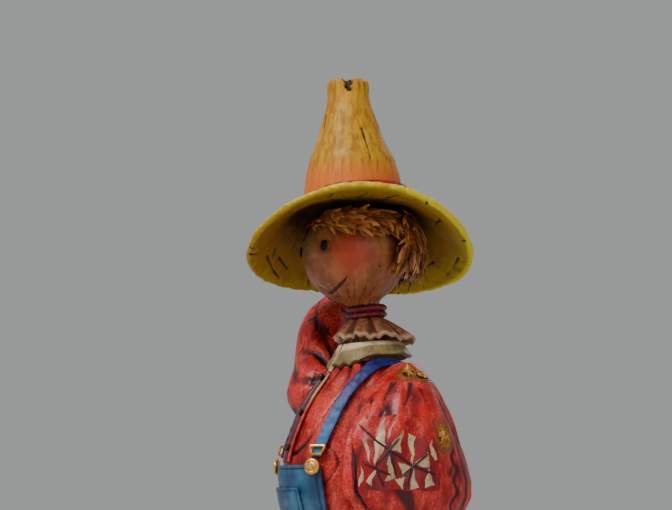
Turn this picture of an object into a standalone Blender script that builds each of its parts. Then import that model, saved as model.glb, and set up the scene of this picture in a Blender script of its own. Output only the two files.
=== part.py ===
"""Scarecrow figurine: a painted resin figure in a tall straw hat, standing on a round base.

Metres, +Z up. The figure faces -Y, so its left side is +X. The origin is the centre of the
felt underside of the base. The pieces are cast one by one, pinned with steel rods and
glued; the head and the hat turn together on a wooden neck dowel.
"""
import math

import bmesh
import bpy
from mathutils import Vector

MM = 0.001
GAP = 0.3 * MM                  # left between pieces that touch

# Base and boots
FELT_THICKNESS = 1.5 * MM
BASE_RADIUS = 48.0 * MM
PLINTH_HEIGHT = 10.2 * MM
SOLE_THICKNESS = 3.7 * MM
BOOT_LENGTH = 38.0 * MM
BOOT_WIDTH = 19.0 * MM
BOOT_HEIGHT = 29.0 * MM
BOOT_SPACING = 14.0 * MM        # from the middle plane to each boot

# Overalls
LEG_LENGTH = 53.5 * MM
LEG_HEM_RADIUS = 11.0 * MM
SEAT_HEIGHT = 24.0 * MM
BIB_HEIGHT = 24.0 * MM
BIB_THICKNESS = 1.8 * MM
STRAP_WIDTH = 3.6 * MM
STRAP_THICKNESS = 1.4 * MM
BUCKLE_WIRE_RADIUS = 0.55 * MM

# Shirt
TORSO_HEIGHT = 67.2 * MM
TORSO_HALF_WIDTH = 24.8 * MM
BELLY_DEPTH = 36.5 * MM         # from the neck axis forward
BACK_DEPTH = 21.0 * MM          # from the neck axis back
COLLAR_HEIGHT = 5.2 * MM
COLLAR_THICKNESS = 1.2 * MM
SLEEVE_HALF_DEPTH = 28.0 * MM   # of the hanging sleeve at its widest
RAISED_SLEEVE_RADIUS = 11.5 * MM

# Neck, head and hair
RUFFLE_RADIUS = 17.5 * MM
RUFFLE_DROP = 11.0 * MM
RUFFLE_CLEARANCE = 1.0 * MM     # above the collar, for the head to turn
NECK_RADIUS = 6.8 * MM
NECK_LENGTH = 4.8 * MM
RIBBON_THICKNESS = 1.3 * MM
HEAD_RADIUS = 21.6 * MM
HEAD_FORWARD = 5.6 * MM         # from the neck axis to the middle of the head
HAIR_THICKNESS = 4.0 * MM
BACK_HAIR_THICKNESS = 7.0 * MM

# Hat
BRIM_RADIUS = 48.5 * MM
BRIM_THICKNESS = 2.4 * MM
CROWN_RADIUS = 21.3 * MM
CROWN_HEIGHT = 52.3 * MM
CROWN_LEAN = 3.0 * MM           # how far the tip is ahead of the crown's foot
BAND_HEIGHT = 4.6 * MM
BAND_THICKNESS = 1.1 * MM
NEAR_SIDE = math.radians(63)    # direction of the turned-up side, from the front to the left

# Pins
ROD_RADIUS = 2.0 * MM
DOWEL_RADIUS = 3.0 * MM

# Heights that follow from the sizes above
PLINTH_BOTTOM = FELT_THICKNESS + GAP
PLINTH_TOP = PLINTH_BOTTOM + PLINTH_HEIGHT
SOLE_TOP = PLINTH_TOP + GAP + SOLE_THICKNESS
BOOT_TOP = SOLE_TOP + GAP + BOOT_HEIGHT
LEG_BOTTOM = BOOT_TOP + GAP
LEG_TOP = LEG_BOTTOM + LEG_LENGTH
SEAT_BOTTOM = LEG_TOP + GAP
WAIST = SEAT_BOTTOM + SEAT_HEIGHT
TORSO_BOTTOM = WAIST + GAP
TORSO_TOP = TORSO_BOTTOM + TORSO_HEIGHT
BIB_TOP = TORSO_BOTTOM + BIB_HEIGHT
RUFFLE_RIM = TORSO_TOP + COLLAR_HEIGHT + RUFFLE_CLEARANCE
NECK_BOTTOM = RUFFLE_RIM + RUFFLE_DROP + GAP
HEAD_CENTRE = Vector((0, -HEAD_FORWARD, NECK_BOTTOM + NECK_LENGTH + HEAD_RADIUS))
BRIM_TOP = HEAD_CENTRE.z + HEAD_RADIUS
CROWN_BOTTOM = BRIM_TOP + GAP


def clear_scene():
    for scene_object in list(bpy.data.objects):
        bpy.data.objects.remove(scene_object)


def new_collection(name):
    collection = bpy.data.collections.new(name)
    bpy.context.scene.collection.children.link(collection)
    return collection


clear_scene()
FIGURE = new_collection("scarecrow_figure")
CUTTERS = new_collection("cutters")


def material(name, colour, roughness, metallic=0.0):
    """A plain painted finish, made once for each name."""
    existing = bpy.data.materials.get(name)
    if existing:
        return existing
    finish = bpy.data.materials.new(name)
    finish.use_nodes = True
    shader = finish.node_tree.nodes["Principled BSDF"]
    shader.inputs["Base Color"].default_value = (*colour, 1)
    shader.inputs["Roughness"].default_value = roughness
    shader.inputs["Metallic"].default_value = metallic
    return finish


def put(name, data, finish, collection=None):
    """Link an object that holds data into a collection and paint it."""
    piece = bpy.data.objects.new(name, data)
    (collection or FIGURE).objects.link(piece)
    if finish:
        colour, roughness, metallic = finish
        data.materials.append(material("paint_" + name, colour, roughness, metallic))
    if collection is CUTTERS:
        piece.hide_render = True
        piece.display_type = "WIRE"
    return piece


def mesh_from(bm, name, angle=40):
    mesh = bpy.data.meshes.new(name)
    bm.to_mesh(mesh)
    bm.free()
    mesh.shade_smooth()
    mesh.set_sharp_from_angle(angle=math.radians(angle))
    return mesh


def smooth_read(stations, x):
    """Read a smooth curve through stations (x, value, value, ...) at x."""
    count = len(stations)
    x = min(max(x, stations[0][0]), stations[-1][0])
    i = max(k for k in range(count - 1) if stations[k][0] <= x)
    before, low = stations[max(i - 1, 0)], stations[i]
    high, after = stations[i + 1], stations[min(i + 2, count - 1)]
    span = high[0] - low[0]
    t = (x - low[0]) / span
    values = []
    for k in range(1, len(low)):
        rise_low = (high[k] - before[k]) / (high[0] - before[0]) * span
        rise_high = (after[k] - low[k]) / (after[0] - low[0]) * span
        values.append((2 * t**3 - 3 * t**2 + 1) * low[k] + (t**3 - 2 * t**2 + t) * rise_low
                      + (3 * t**2 - 2 * t**3) * high[k] + (t**3 - t**2) * rise_high)
    return values


def section(centre, axis, side, across, deep):
    """An ellipse round axis: its centre and its two half-axis vectors."""
    axis = Vector(axis).normalized()
    deep_way = axis.cross(Vector(side)).normalized()
    side_way = deep_way.cross(axis).normalized()
    return Vector(centre), side_way * across, deep_way * deep


def flat_section(z, half_width, front, back, extra=0.0):
    """A level ellipse that reaches from front to back along Y."""
    half_depth = (back - front) / 2 + extra
    return (Vector((0, (front + back) / 2, z)), Vector((half_width + extra, 0, 0)),
            Vector((0, half_depth, 0)))


def ring_point(ring, angle):
    centre, across, deep = ring
    return centre + across * math.sin(angle) - deep * math.cos(angle)


def loft(name, rings, finish, sides=28, collection=None):
    """A closed solid through elliptical sections, capped at both ends."""
    bm = bmesh.new()
    turns = [2 * math.pi * k / sides for k in range(sides)]
    rows = [[bm.verts.new(ring_point(ring, turn)) for turn in turns] for ring in rings]
    for lower, upper in zip(rows, rows[1:]):
        for k in range(sides):
            nxt = (k + 1) % sides
            bm.faces.new((lower[k], lower[nxt], upper[nxt], upper[k]))
    bm.faces.new(rows[0])
    bm.faces.new(rows[-1])
    bmesh.ops.recalc_face_normals(bm, faces=bm.faces)
    return put(name, mesh_from(bm, name), finish, collection)


def sheet(name, place, columns, rows, thickness, finish, closed=False, lift=0.0, outward=1,
          collection=None):
    """A shell over the surface place(u, v), u and v from 0 to 1, grown along its normal."""
    def lifted(u, v):
        step = 1e-4
        along = place(u + step, v) - place(u - step, v)
        up = place(u, min(v + step, 1)) - place(u, max(v - step, 0))
        return place(u, v) + along.cross(up).normalized() * lift

    bm = bmesh.new()
    across = columns if closed else columns + 1
    grid = [[bm.verts.new(lifted(i / columns, j / rows)) for i in range(across)]
            for j in range(rows + 1)]
    for low, high in zip(grid, grid[1:]):
        for i in range(columns):
            nxt = (i + 1) % across
            bm.faces.new((low[i], low[nxt], high[nxt], high[i]))
    piece = put(name, mesh_from(bm, name), finish, collection)
    shell = piece.modifiers.new("thickness", "SOLIDIFY")
    shell.thickness = thickness
    shell.offset = outward
    shell.use_even_offset = False
    return piece


def cylinder(name, start, end, radius, finish, collection=None, sides=20):
    """A straight round bar from start to end."""
    start, end = Vector(start), Vector(end)
    bm = bmesh.new()
    bmesh.ops.create_cone(bm, cap_ends=True, segments=sides, radius1=radius, radius2=radius,
                          depth=(end - start).length)
    piece = put(name, mesh_from(bm, name), finish, collection)
    piece.location = (start + end) / 2
    piece.rotation_euler = (end - start).to_track_quat("Z", "Y").to_euler()
    return piece


def boolean(piece, other, operation="DIFFERENCE"):
    cut = piece.modifiers.new(other.name, "BOOLEAN")
    cut.operation = operation
    cut.object = other


# Paints: colour, roughness, metallic
EARTH = ((0.20, 0.13, 0.06), 0.7, 0.0)
FELT = ((0.05, 0.12, 0.07), 0.95, 0.0)
STEEL = ((0.55, 0.55, 0.57), 0.35, 1.0)
BOOT_BROWN = ((0.11, 0.05, 0.02), 0.45, 0.0)
SOLE_DARK = ((0.04, 0.025, 0.02), 0.7, 0.0)
DENIM = ((0.03, 0.12, 0.24), 0.5, 0.0)
STRAP_BLUE = ((0.02, 0.05, 0.25), 0.45, 0.0)
SHIRT_RED = ((0.58, 0.05, 0.04), 0.4, 0.0)
PATCH_RED = ((0.45, 0.02, 0.02), 0.4, 0.0)
CREAM = ((0.55, 0.42, 0.22), 0.5, 0.0)
DARK_BUTTON = ((0.05, 0.02, 0.015), 0.3, 0.0)
GOLD = ((0.75, 0.42, 0.10), 0.3, 1.0)
RIBBON_CRIMSON = ((0.22, 0.01, 0.03), 0.4, 0.0)
SACK_BROWN = ((0.25, 0.12, 0.05), 0.6, 0.0)
FACE_TAN = ((0.50, 0.25, 0.11), 0.4, 0.0)
BEAD_BLACK = ((0.01, 0.01, 0.01), 0.1, 0.0)
STITCH_BROWN = ((0.08, 0.02, 0.01), 0.5, 0.0)
STRAW_COPPER = ((0.30, 0.10, 0.02), 0.45, 0.0)
STRAW_YELLOW = ((0.60, 0.42, 0.03), 0.4, 0.0)
BAND_CRIMSON = ((0.40, 0.01, 0.01), 0.4, 0.0)
GLOVE_TAN = ((0.38, 0.20, 0.08), 0.5, 0.0)
BARE_WOOD = ((0.55, 0.38, 0.20), 0.6, 0.0)
UNPAINTED = None

SIDES = (("left", 1), ("right", -1))

# The torso's ellipses: share of the torso's height, then shares of the half width,
# the belly's depth and the back's depth
TORSO_STATIONS = [
    (0.00, 0.97, 0.85, 0.95), (0.18, 1.00, 0.95, 1.00), (0.36, 0.99, 0.99, 1.00),
    (0.57, 0.95, 0.87, 0.97), (0.75, 0.93, 0.70, 0.95), (0.88, 0.86, 0.52, 0.92),
    (0.95, 0.76, 0.42, 0.83), (0.985, 0.60, 0.36, 0.67), (1.00, 0.44, 0.30, 0.52)]


def torso_section(z, extra=0.0):
    share = (z - TORSO_BOTTOM) / TORSO_HEIGHT
    width, front, back = smooth_read(TORSO_STATIONS, share)
    return flat_section(z, width * TORSO_HALF_WIDTH, -front * BELLY_DEPTH, back * BACK_DEPTH,
                        extra)


def torso_rings(extra=0.0):
    shares = [0, 0.09, 0.18, 0.27, 0.36, 0.46, 0.57, 0.66, 0.75, 0.82, 0.88, 0.92, 0.95,
              0.97, 0.985, 1.0]
    return [torso_section(TORSO_BOTTOM + share * TORSO_HEIGHT, extra) for share in shares]


def on_torso(angle, z):
    """A point of the torso's surface, by its angle from the front and its height."""
    return ring_point(torso_section(z), angle)


def shoulder_height(x):
    """The height where the torso's half width has shrunk to x."""
    low, high = TORSO_BOTTOM + 0.6 * TORSO_HEIGHT, TORSO_TOP
    for _ in range(40):
        middle = (low + high) / 2
        if torso_section(middle)[1].x > x:
            low = middle
        else:
            high = middle
    return low


def over_shoulder(x, t, front_low, back_low):
    """A point of the torso's surface in the plane at x: up the front, down the back."""
    low = front_low if t < 0.5 else back_low
    z = low + (shoulder_height(abs(x)) - low) * math.sin(math.pi * t)
    centre, across, deep = torso_section(z)
    reach = deep.y * math.sqrt(max(0.0, 1 - (x / across.x) ** 2))
    return Vector((x, centre.y + (reach if t > 0.5 else -reach), z))


# --- Base -----------------------------------------------------------------------------

def turned(name, profile, finish, steps=36):
    """A solid turned round the Z axis from (radius, z) points, outer side top to bottom."""
    bm = bmesh.new()
    points = [bm.verts.new((radius, 0, z)) for radius, z in profile]
    for start, end in zip(points, points[1:]):
        bm.edges.new((start, end))
    mesh = bpy.data.meshes.new(name)
    bm.to_mesh(mesh)
    bm.free()
    piece = put(name, mesh, finish)
    screw = piece.modifiers.new("turn", "SCREW")
    screw.steps = screw.render_steps = steps
    screw.use_merge_vertices = True
    screw.merge_threshold = 1e-5
    screw.use_smooth_shade = True
    return piece


def make_base():
    edge = 2.5 * MM
    turned("base_felt_pad", [(0, FELT_THICKNESS), (BASE_RADIUS - edge, FELT_THICKNESS),
                             (BASE_RADIUS - edge, 0), (0, 0)], FELT)
    profile = [(0, PLINTH_TOP)]
    for k in range(5):
        turn = math.pi / 2 * k / 4
        profile.append((BASE_RADIUS - edge + edge * math.sin(turn),
                        PLINTH_TOP - edge + edge * math.cos(turn)))
    profile += [(BASE_RADIUS, PLINTH_BOTTOM), (0, PLINTH_BOTTOM)]
    return turned("base_plinth", profile, EARTH)


# --- Boots and legs ----------------------------------------------------------------------

def boot_outline(scale):
    """Points of a sole round the foot at the origin, toe towards -Y."""
    heel, toe = BOOT_LENGTH * 0.36, BOOT_LENGTH * 0.64
    points = []
    for k in range(24):
        turn = 2 * math.pi * k / 24
        reach = toe if math.cos(turn) > 0 else heel
        points.append(Vector((BOOT_WIDTH / 2 * math.sin(turn) * scale,
                              -reach * math.cos(turn) * scale, 0)))
    return points


def make_sole(side, way):
    bm = bmesh.new()
    face = bm.faces.new([bm.verts.new(point) for point in boot_outline(1.0)])
    raised = bmesh.ops.extrude_face_region(bm, geom=[face])
    lifted = [item for item in raised["geom"] if isinstance(item, bmesh.types.BMVert)]
    bmesh.ops.translate(bm, verts=lifted, vec=(0, 0, SOLE_THICKNESS))
    bmesh.ops.recalc_face_normals(bm, faces=bm.faces)
    sole = put("boot_sole_" + side, mesh_from(bm, "sole"), SOLE_DARK)
    sole.location = (way * BOOT_SPACING, 0, PLINTH_TOP + GAP)
    return sole


def make_boot(side, way):
    """A domed foot, flat underneath, joined to a round shaft."""
    bottom = SOLE_TOP + GAP
    toe_middle = BOOT_LENGTH * 0.14
    bm = bmesh.new()
    bmesh.ops.create_uvsphere(bm, u_segments=18, v_segments=10, radius=1.0)
    bmesh.ops.scale(bm, verts=bm.verts, vec=(BOOT_WIDTH * 0.47, BOOT_LENGTH * 0.47,
                                             BOOT_HEIGHT * 0.5))
    cut = bmesh.ops.bisect_plane(bm, geom=bm.verts[:] + bm.edges[:] + bm.faces[:],
                                 plane_co=(0, 0, -1 * MM), plane_no=(0, 0, -1),
                                 clear_outer=True)
    rim = [item for item in cut["geom_cut"] if isinstance(item, bmesh.types.BMEdge)]
    bmesh.ops.holes_fill(bm, edges=rim)
    bmesh.ops.recalc_face_normals(bm, faces=bm.faces)
    boot = put("boot_" + side, mesh_from(bm, "boot"), BOOT_BROWN)
    boot.location = (way * BOOT_SPACING, -toe_middle, bottom + 1 * MM)
    x = way * BOOT_SPACING
    up, right = (0, 0, 1), (1, 0, 0)
    shaft = loft("boot_shaft_" + side, [
        section((x, 2 * MM, bottom + 3 * MM), up, right, 8.0 * MM, 10.0 * MM),
        section((x, 2 * MM, bottom + BOOT_HEIGHT * 0.5), up, right, 8.4 * MM, 9.4 * MM),
        section((x, 2 * MM, BOOT_TOP), up, right, 9.2 * MM, 10.2 * MM)],
        UNPAINTED, 18, CUTTERS)
    boolean(boot, shaft, "UNION")
    return boot


def make_leg(side, way):
    """A trouser leg, wide at the hip and loose over the boot."""
    hip = TORSO_HALF_WIDTH / 2 + 0.4 * MM
    stations = [(0.0, BOOT_SPACING, 1.0 * MM, LEG_HEM_RADIUS, LEG_HEM_RADIUS * 1.1),
                (0.2, BOOT_SPACING, 0.5 * MM, LEG_HEM_RADIUS * 1.08, LEG_HEM_RADIUS * 1.2),
                (0.6, hip + 0.6 * MM, -1 * MM, hip - 0.7 * MM, 16 * MM),
                (1.0, hip + 0.2 * MM, -2 * MM, hip - 0.5 * MM, 20 * MM)]
    rings = []
    for k in range(9):
        x, y, half_width, half_depth = smooth_read(stations, k / 8)
        rings.append(section((way * x, y, LEG_BOTTOM + k / 8 * LEG_LENGTH), (0, 0, 1),
                             (1, 0, 0), half_width, half_depth))
    return loft("trouser_leg_" + side, rings, DENIM, 22)


def make_seat():
    """Hips of the overalls, closed at the waist just outside the shirt's tails."""
    waist = 1.5 * MM
    wide = TORSO_HALF_WIDTH + waist
    rings = []
    for share, width, front, back in ((0, 0.96, 0.74, 0.94), (0.2, 1.0, 0.82, 1.02),
                                      (0.6, 1.0, 0.92, 1.05), (1, 0.98, 0.96, 1.03)):
        rings.append(flat_section(SEAT_BOTTOM + share * SEAT_HEIGHT, width * wide,
                                  -front * BELLY_DEPTH, back * BACK_DEPTH))
    return loft("overalls_seat", rings, DENIM, 30)


# --- Bib, straps and their metal ----------------------------------------------------------

BIB_HALF_ANGLE = math.radians(43)
BIB_BUTTON_ANGLE = math.radians(36)


def place_on_torso(low_angle, high_angle, low_z, high_z):
    def place(u, v):
        return on_torso(low_angle + (high_angle - low_angle) * u, low_z + (high_z - low_z) * v)
    return place


def torso_normal(angle, z):
    step = 1e-4
    along = on_torso(angle + step, z) - on_torso(angle - step, z)
    up = on_torso(angle, z + step) - on_torso(angle, z - step)
    return along.cross(up).normalized()


def disc_on_torso(name, angle, z, lift, half_width, half_height, thickness, finish):
    """A slightly domed oval button lying on the chest."""
    normal = torso_normal(angle, z)
    foot = on_torso(angle, z) + normal * lift
    side = Vector((math.cos(angle), math.sin(angle), 0))
    rings = [section(foot + normal * thickness * up, normal, side, half_width * share,
                     half_height * share) for up, share in ((0, 0.9), (0.3, 1), (0.7, 1), (1, 0.7))]
    return loft(name, rings, finish, 14)


def make_bib():
    bottom = TORSO_BOTTOM + 3 * GAP
    sheet("overalls_bib", place_on_torso(-BIB_HALF_ANGLE, BIB_HALF_ANGLE, bottom, BIB_TOP),
          12, 5, BIB_THICKNESS, DENIM, lift=GAP)
    pocket = BIB_HALF_ANGLE * 0.5
    sheet("bib_pocket", place_on_torso(-pocket, pocket, bottom + BIB_HEIGHT * 0.16,
                                       bottom + BIB_HEIGHT * 0.62),
          8, 4, 1.0 * MM, DENIM, lift=BIB_THICKNESS + 2 * GAP)


def make_strap(side, way):
    """A strap from the bib's button over the shoulder to the back of the waist.

    The space it takes, a gap wider all round, is returned as a cutter for the sleeve.
    """
    def middle(t):
        front, top, back = TORSO_HALF_WIDTH * 0.59, TORSO_HALF_WIDTH * 0.715, 8 * MM
        if t < 0.5:
            return front + (top - front) * math.sin(math.pi * t)
        return back + (top - back) * math.sin(math.pi * t)

    def strip(width):
        def place(u, v):
            x = way * middle(v) + width * (u - 0.5)
            return over_shoulder(x, v, BIB_TOP + 2.6 * MM, TORSO_BOTTOM + 1.5 * MM)
        return place

    sheet("strap_" + side, strip(STRAP_WIDTH), 4, 30, STRAP_THICKNESS, STRAP_BLUE, lift=GAP)
    return sheet("strap_space_" + side, strip(STRAP_WIDTH + 6 * GAP), 4, 30,
                 STRAP_THICKNESS + 4 * GAP, UNPAINTED, lift=0.0, collection=CUTTERS)


def make_buckle(side, way):
    """The gold button at the bib's corner and the wire loop that hangs on the strap."""
    disc_on_torso("bib_button_" + side, way * BIB_BUTTON_ANGLE, BIB_TOP - 0.9 * MM,
                  BIB_THICKNESS + 2 * GAP, 3.3 * MM, 3.4 * MM, 1.8 * MM, GOLD)
    lift = STRAP_THICKNESS + 3 * GAP + BUCKLE_WIRE_RADIUS
    middle = way * BIB_BUTTON_ANGLE
    corners = []
    for across, up in ((-0.62, 0), (0.62, 0), (1, 1), (-1, 1)):
        z = BIB_TOP + 3.6 * MM + up * 3.2 * MM
        angle = middle + way * math.radians(2) + across * math.radians(6.5)
        corners.append(on_torso(angle, z) + torso_normal(angle, z) * lift)
    curve = bpy.data.curves.new("buckle_loop_" + side, "CURVE")
    curve.dimensions = "3D"
    curve.bevel_depth = BUCKLE_WIRE_RADIUS
    curve.bevel_resolution = 2
    wire = curve.splines.new("POLY")
    points = []
    for k, corner in enumerate(corners):
        before, after = corners[k - 1], corners[(k + 1) % 4]
        points += [corner.lerp(before, 0.2), corner.lerp((before + after) / 2, 0.06),
                   corner.lerp(after, 0.2)]
    wire.points.add(len(points) - 1)
    for spot, point in zip(wire.points, points):
        spot.co = (*point, 1)
    wire.use_cyclic_u = True
    return put("buckle_loop_" + side, curve, GOLD)


# --- Shirt ------------------------------------------------------------------------------------

def make_shirt():
    torso = loft("shirt_torso", torso_rings(), SHIRT_RED, 30)
    half_angle = math.radians(6)
    top = TORSO_TOP - 6.2 * MM
    sheet("shirt_placket", place_on_torso(-half_angle, half_angle, BIB_TOP + 0.8 * MM, top),
          4, 14, 0.8 * MM, SHIRT_RED, lift=GAP)
    heights = (("upper", top - 2.4 * MM), ("middle", (top + BIB_TOP) / 2 + 2 * MM),
               ("lower", BIB_TOP + 6.5 * MM))
    for name, z in heights:
        disc_on_torso("shirt_button_" + name, 0, z, 0.8 * MM + 2 * GAP, 1.5 * MM, 1.5 * MM,
                      0.9 * MM, DARK_BUTTON)
    return torso


def make_collar(side, way):
    """Half of the fold-over collar, from the front opening to the nape."""
    def place(u, v):
        turn = way * math.radians(7 + 172 * u)
        frontness = max(0.0, math.cos(turn)) ** 1.5
        radius = TORSO_HALF_WIDTH * (0.45 + 0.045 * (1 - v))
        deep = BACK_DEPTH * (0.60 + 0.10 * (1 - v))
        deep += (0.20 - 0.08 * v) * BACK_DEPTH * frontness
        low = 1.1 * MM - 3.6 * MM * frontness ** 4
        high = COLLAR_HEIGHT - COLLAR_HEIGHT * 0.3 * frontness
        return Vector((radius * math.sin(turn), 2 * MM - deep * math.cos(turn),
                       TORSO_TOP + low + (high - low) * v))

    return sheet("collar_" + side, place, 16, 4, COLLAR_THICKNESS, CREAM,
                 outward=way)


# --- Arms ---------------------------------------------------------------------------------------

SHOULDER = Vector((TORSO_HALF_WIDTH + 3.5 * MM, 2 * MM, TORSO_TOP - 2.2 * MM))

# The hanging left sleeve: offset from the shoulder in mm, axis, half width and the share of
# the sleeve's half depth
LEFT_SLEEVE = [
    ((0.0, 0.0, 0.0), (0, 0, -1), 3.5, 0.10), ((2.0, -1.0, -2.2), (0, 0, -1), 8.0, 0.25),
    ((5.5, -3.4, -8.5), (0, 0, -1), 12.6, 0.45), ((8.5, -5.8, -19.0), (0, 0, -1), 14.0, 0.71),
    ((11.0, -7.0, -31.5), (0, 0, -1), 15.0, 0.89), ((12.0, -5.0, -47.5), (0, 0, -1), 15.0, 1.0),
    ((11.5, -6.5, -56.5), (0, -0.14, -1), 14.0, 0.93),
    ((10.0, -12.0, -64.5), (-0.1, -0.42, -0.9), 11.0, 0.64),
    ((7.5, -21.0, -70.0), (-0.3, -0.74, -0.6), 8.5, 0.34),
    ((6.0, -25.5, -72.5), (-0.4, -0.78, -0.48), 6.5, 0.235)]

# The raised right sleeve: offset from the shoulder in mm, axis, share of its radius
RIGHT_SLEEVE = [
    ((-7.5, -2.5, -14.0), (1, 0, 0.35), 0.95), ((-0.5, -5.0, -12.5), (1, 0, 0.5), 1.28),
    ((8.0, -5.5, -8.5), (1, 0.05, 0.75), 1.36), ((14.5, -0.5, 4.0), (0.75, 0.3, 1), 1.18),
    ((18.5, 2.5, 15.0), (0.45, 0.5, 1), 1.16), ((20.5, 7.0, 23.5), (0.2, 0.6, 1), 1.06),
    ((22.0, 13.0, 31.5), (0.1, 0.6, 1), 0.82), ((23.0, 18.5, 39.5), (0.05, 0.5, 1), 0.53)]


def left_sleeve_rings():
    rings = []
    for offset, axis, half_width, depth in LEFT_SLEEVE:
        rings.append(section(SHOULDER + Vector(offset) * MM, axis, (1, 0, 0), half_width * MM,
                             depth * SLEEVE_HALF_DEPTH))
    return rings


def right_sleeve_rings():
    rings = []
    for (x, y, z), (ax, ay, az), share in RIGHT_SLEEVE:
        centre = Vector((-SHOULDER.x - x * MM, SHOULDER.y + y * MM, SHOULDER.z + z * MM))
        radius = share * RAISED_SLEEVE_RADIUS
        rings.append(section(centre, (-ax, ay, az), (0, 1, 0), radius, radius))
    return rings


def refined(rings, parts=2):
    """More sections between the given ones, on smooth curves."""
    table = [(float(k), *ring[0], *ring[1], *ring[2]) for k, ring in enumerate(rings)]
    finer = []
    for k in range((len(rings) - 1) * parts + 1):
        values = smooth_read(table, k / parts)
        finer.append((Vector(values[0:3]), Vector(values[3:6]), Vector(values[6:9])))
    return finer


def end_direction(rings):
    return (rings[-1][0] - rings[-2][0]).normalized()


def along_end(rings, start, end, shares, radius):
    """Round sections that carry on past a limb's last ring, from start to end."""
    axis = rings[-1][1].cross(rings[-1][2]).normalized()
    if axis.dot(end_direction(rings)) < 0:
        axis = -axis
    result = []
    for k, share in enumerate(shares):
        reach = start + (end - start) * k / (len(shares) - 1)
        result.append(section(rings[-1][0] + axis * reach, axis, rings[-1][1], radius * share,
                              radius * share))
    return result


def make_hand(side, rings, start, curl):
    """A stuffed glove: a palm with four closed fingers and a thumb."""
    palm_rings = along_end(rings, start, start + 17 * MM, (0.55, 0.85, 1.0, 1.0, 0.9, 0.55),
                           6.8 * MM)
    flat = [(centre, across, deep * 0.62) for centre, across, deep in palm_rings]
    hand = loft("glove_" + side, flat, GLOVE_TAN, 16)
    root = flat[1][0] + flat[1][1] * 0.6 * curl
    tip = flat[3][0] + flat[3][1] * 1.45 * curl
    axis = tip - root
    thumb = loft("thumb_" + side, [
        section(root + axis * t, axis, flat[1][2], r * MM, r * MM)
        for t, r in ((0, 2.2), (0.5, 2.6), (0.85, 2.3), (1, 1.2))], UNPAINTED, 12, CUTTERS)
    boolean(hand, thumb, "UNION")


def make_arm(side, way, rings, torso_space, strap_space):
    sleeve = loft("sleeve_" + side, refined(rings), SHIRT_RED, 22)
    boolean(sleeve, torso_space)
    boolean(sleeve, strap_space)
    wrist = rings[-1][1].length
    cuff = 4.0 * MM
    straw = 4.5 * MM
    loft("cuff_" + side, along_end(rings, GAP, GAP + cuff, (0.98, 1.1, 1.1, 0.98), wrist),
         SHIRT_RED, 18)
    loft("wrist_straw_" + side, along_end(rings, cuff + 2 * GAP, cuff + straw,
                                          (0.7, 0.85, 1.0), wrist), STRAW_YELLOW, 16)
    make_hand(side, rings, cuff + straw + GAP, way)
    return sleeve


def make_patch(rings):
    """The harlequin patch on the outside of the hanging sleeve."""
    table = [(float(k), *ring[0], *ring[1], *ring[2]) for k, ring in enumerate(rings)]

    def place(u, v):
        values = smooth_read(table, 5.3 - 1.9 * v)
        ring = (Vector(values[0:3]), Vector(values[3:6]), Vector(values[6:9]))
        turn = math.radians(25 + 75 * u)
        outward = ring[1] * math.sin(turn) + ring[2] * math.cos(turn)
        return ring[0] + outward

    sheet("sleeve_patch_left", place, 10, 10, 0.8 * MM, PATCH_RED, lift=GAP)


# --- Neck, head and hair --------------------------------------------------------------------------

def head_point(azimuth, elevation, radius=HEAD_RADIUS):
    """A point round the head, by angle from the front to the left, and height angle."""
    level = radius * math.cos(elevation)
    return HEAD_CENTRE + Vector((level * math.sin(azimuth), -level * math.cos(azimuth),
                                 radius * math.sin(elevation)))


def make_head():
    """The stuffed sack: a ball drawn in to the neck."""
    rings = []
    for k in range(1, 15):
        elevation = math.radians(90 - k * 10.5)
        rings.append(section(HEAD_CENTRE + Vector((0, 0, HEAD_RADIUS * math.sin(elevation))),
                             (0, 0, 1), (1, 0, 0), HEAD_RADIUS * math.cos(elevation),
                             HEAD_RADIUS * math.cos(elevation)))
    rings.insert(0, section(HEAD_CENTRE + Vector((0, 0, HEAD_RADIUS)), (0, 0, 1), (1, 0, 0),
                            1 * MM, 1 * MM))
    last = rings[-1]
    for share, radius in ((0.5, 1.12), (1.0, 1.0)):
        centre = last[0].lerp(Vector((0, 0, NECK_BOTTOM + NECK_LENGTH)), share)
        rings.append(section(centre, (0, 0, 1), (1, 0, 0), NECK_RADIUS * radius,
                             NECK_RADIUS * radius))
    rings.append(section((0, 0, NECK_BOTTOM), (0, 0, 1), (1, 0, 0), NECK_RADIUS, NECK_RADIUS))
    return loft("head_sack", rings, FACE_TAN, 28)


def make_neck_trim():
    """The ribbon round the neck and the sack's gathered hem below it."""
    def ribbon(u, v):
        turn = 2 * math.pi * u
        radius = NECK_RADIUS + GAP + 0.3 * MM * math.sin(math.pi * v)
        return Vector((radius * math.sin(turn), -radius * math.cos(turn),
                       NECK_BOTTOM + NECK_LENGTH * (0.06 + 0.88 * v)))

    sheet("neck_ribbon", ribbon, 28, 2, RIBBON_THICKNESS, RIBBON_CRIMSON, closed=True)

    def ruffle(u, v):
        turn = 2 * math.pi * u
        spread = (1 - v) ** 1.25
        radius = DOWEL_RADIUS + 1.2 * MM + (RUFFLE_RADIUS - DOWEL_RADIUS - 1.2 * MM) * spread
        radius += 0.9 * MM * spread * math.cos(11 * turn)
        drop = RUFFLE_DROP * (1 - (1 - v) ** 1.7)
        return Vector((radius * math.sin(turn), -radius * math.cos(turn) + 1.5 * MM * spread,
                       RUFFLE_RIM + drop))

    sheet("neck_ruffle", ruffle, 44, 5, 1.8 * MM, SACK_BROWN, closed=True, outward=-1)


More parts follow.
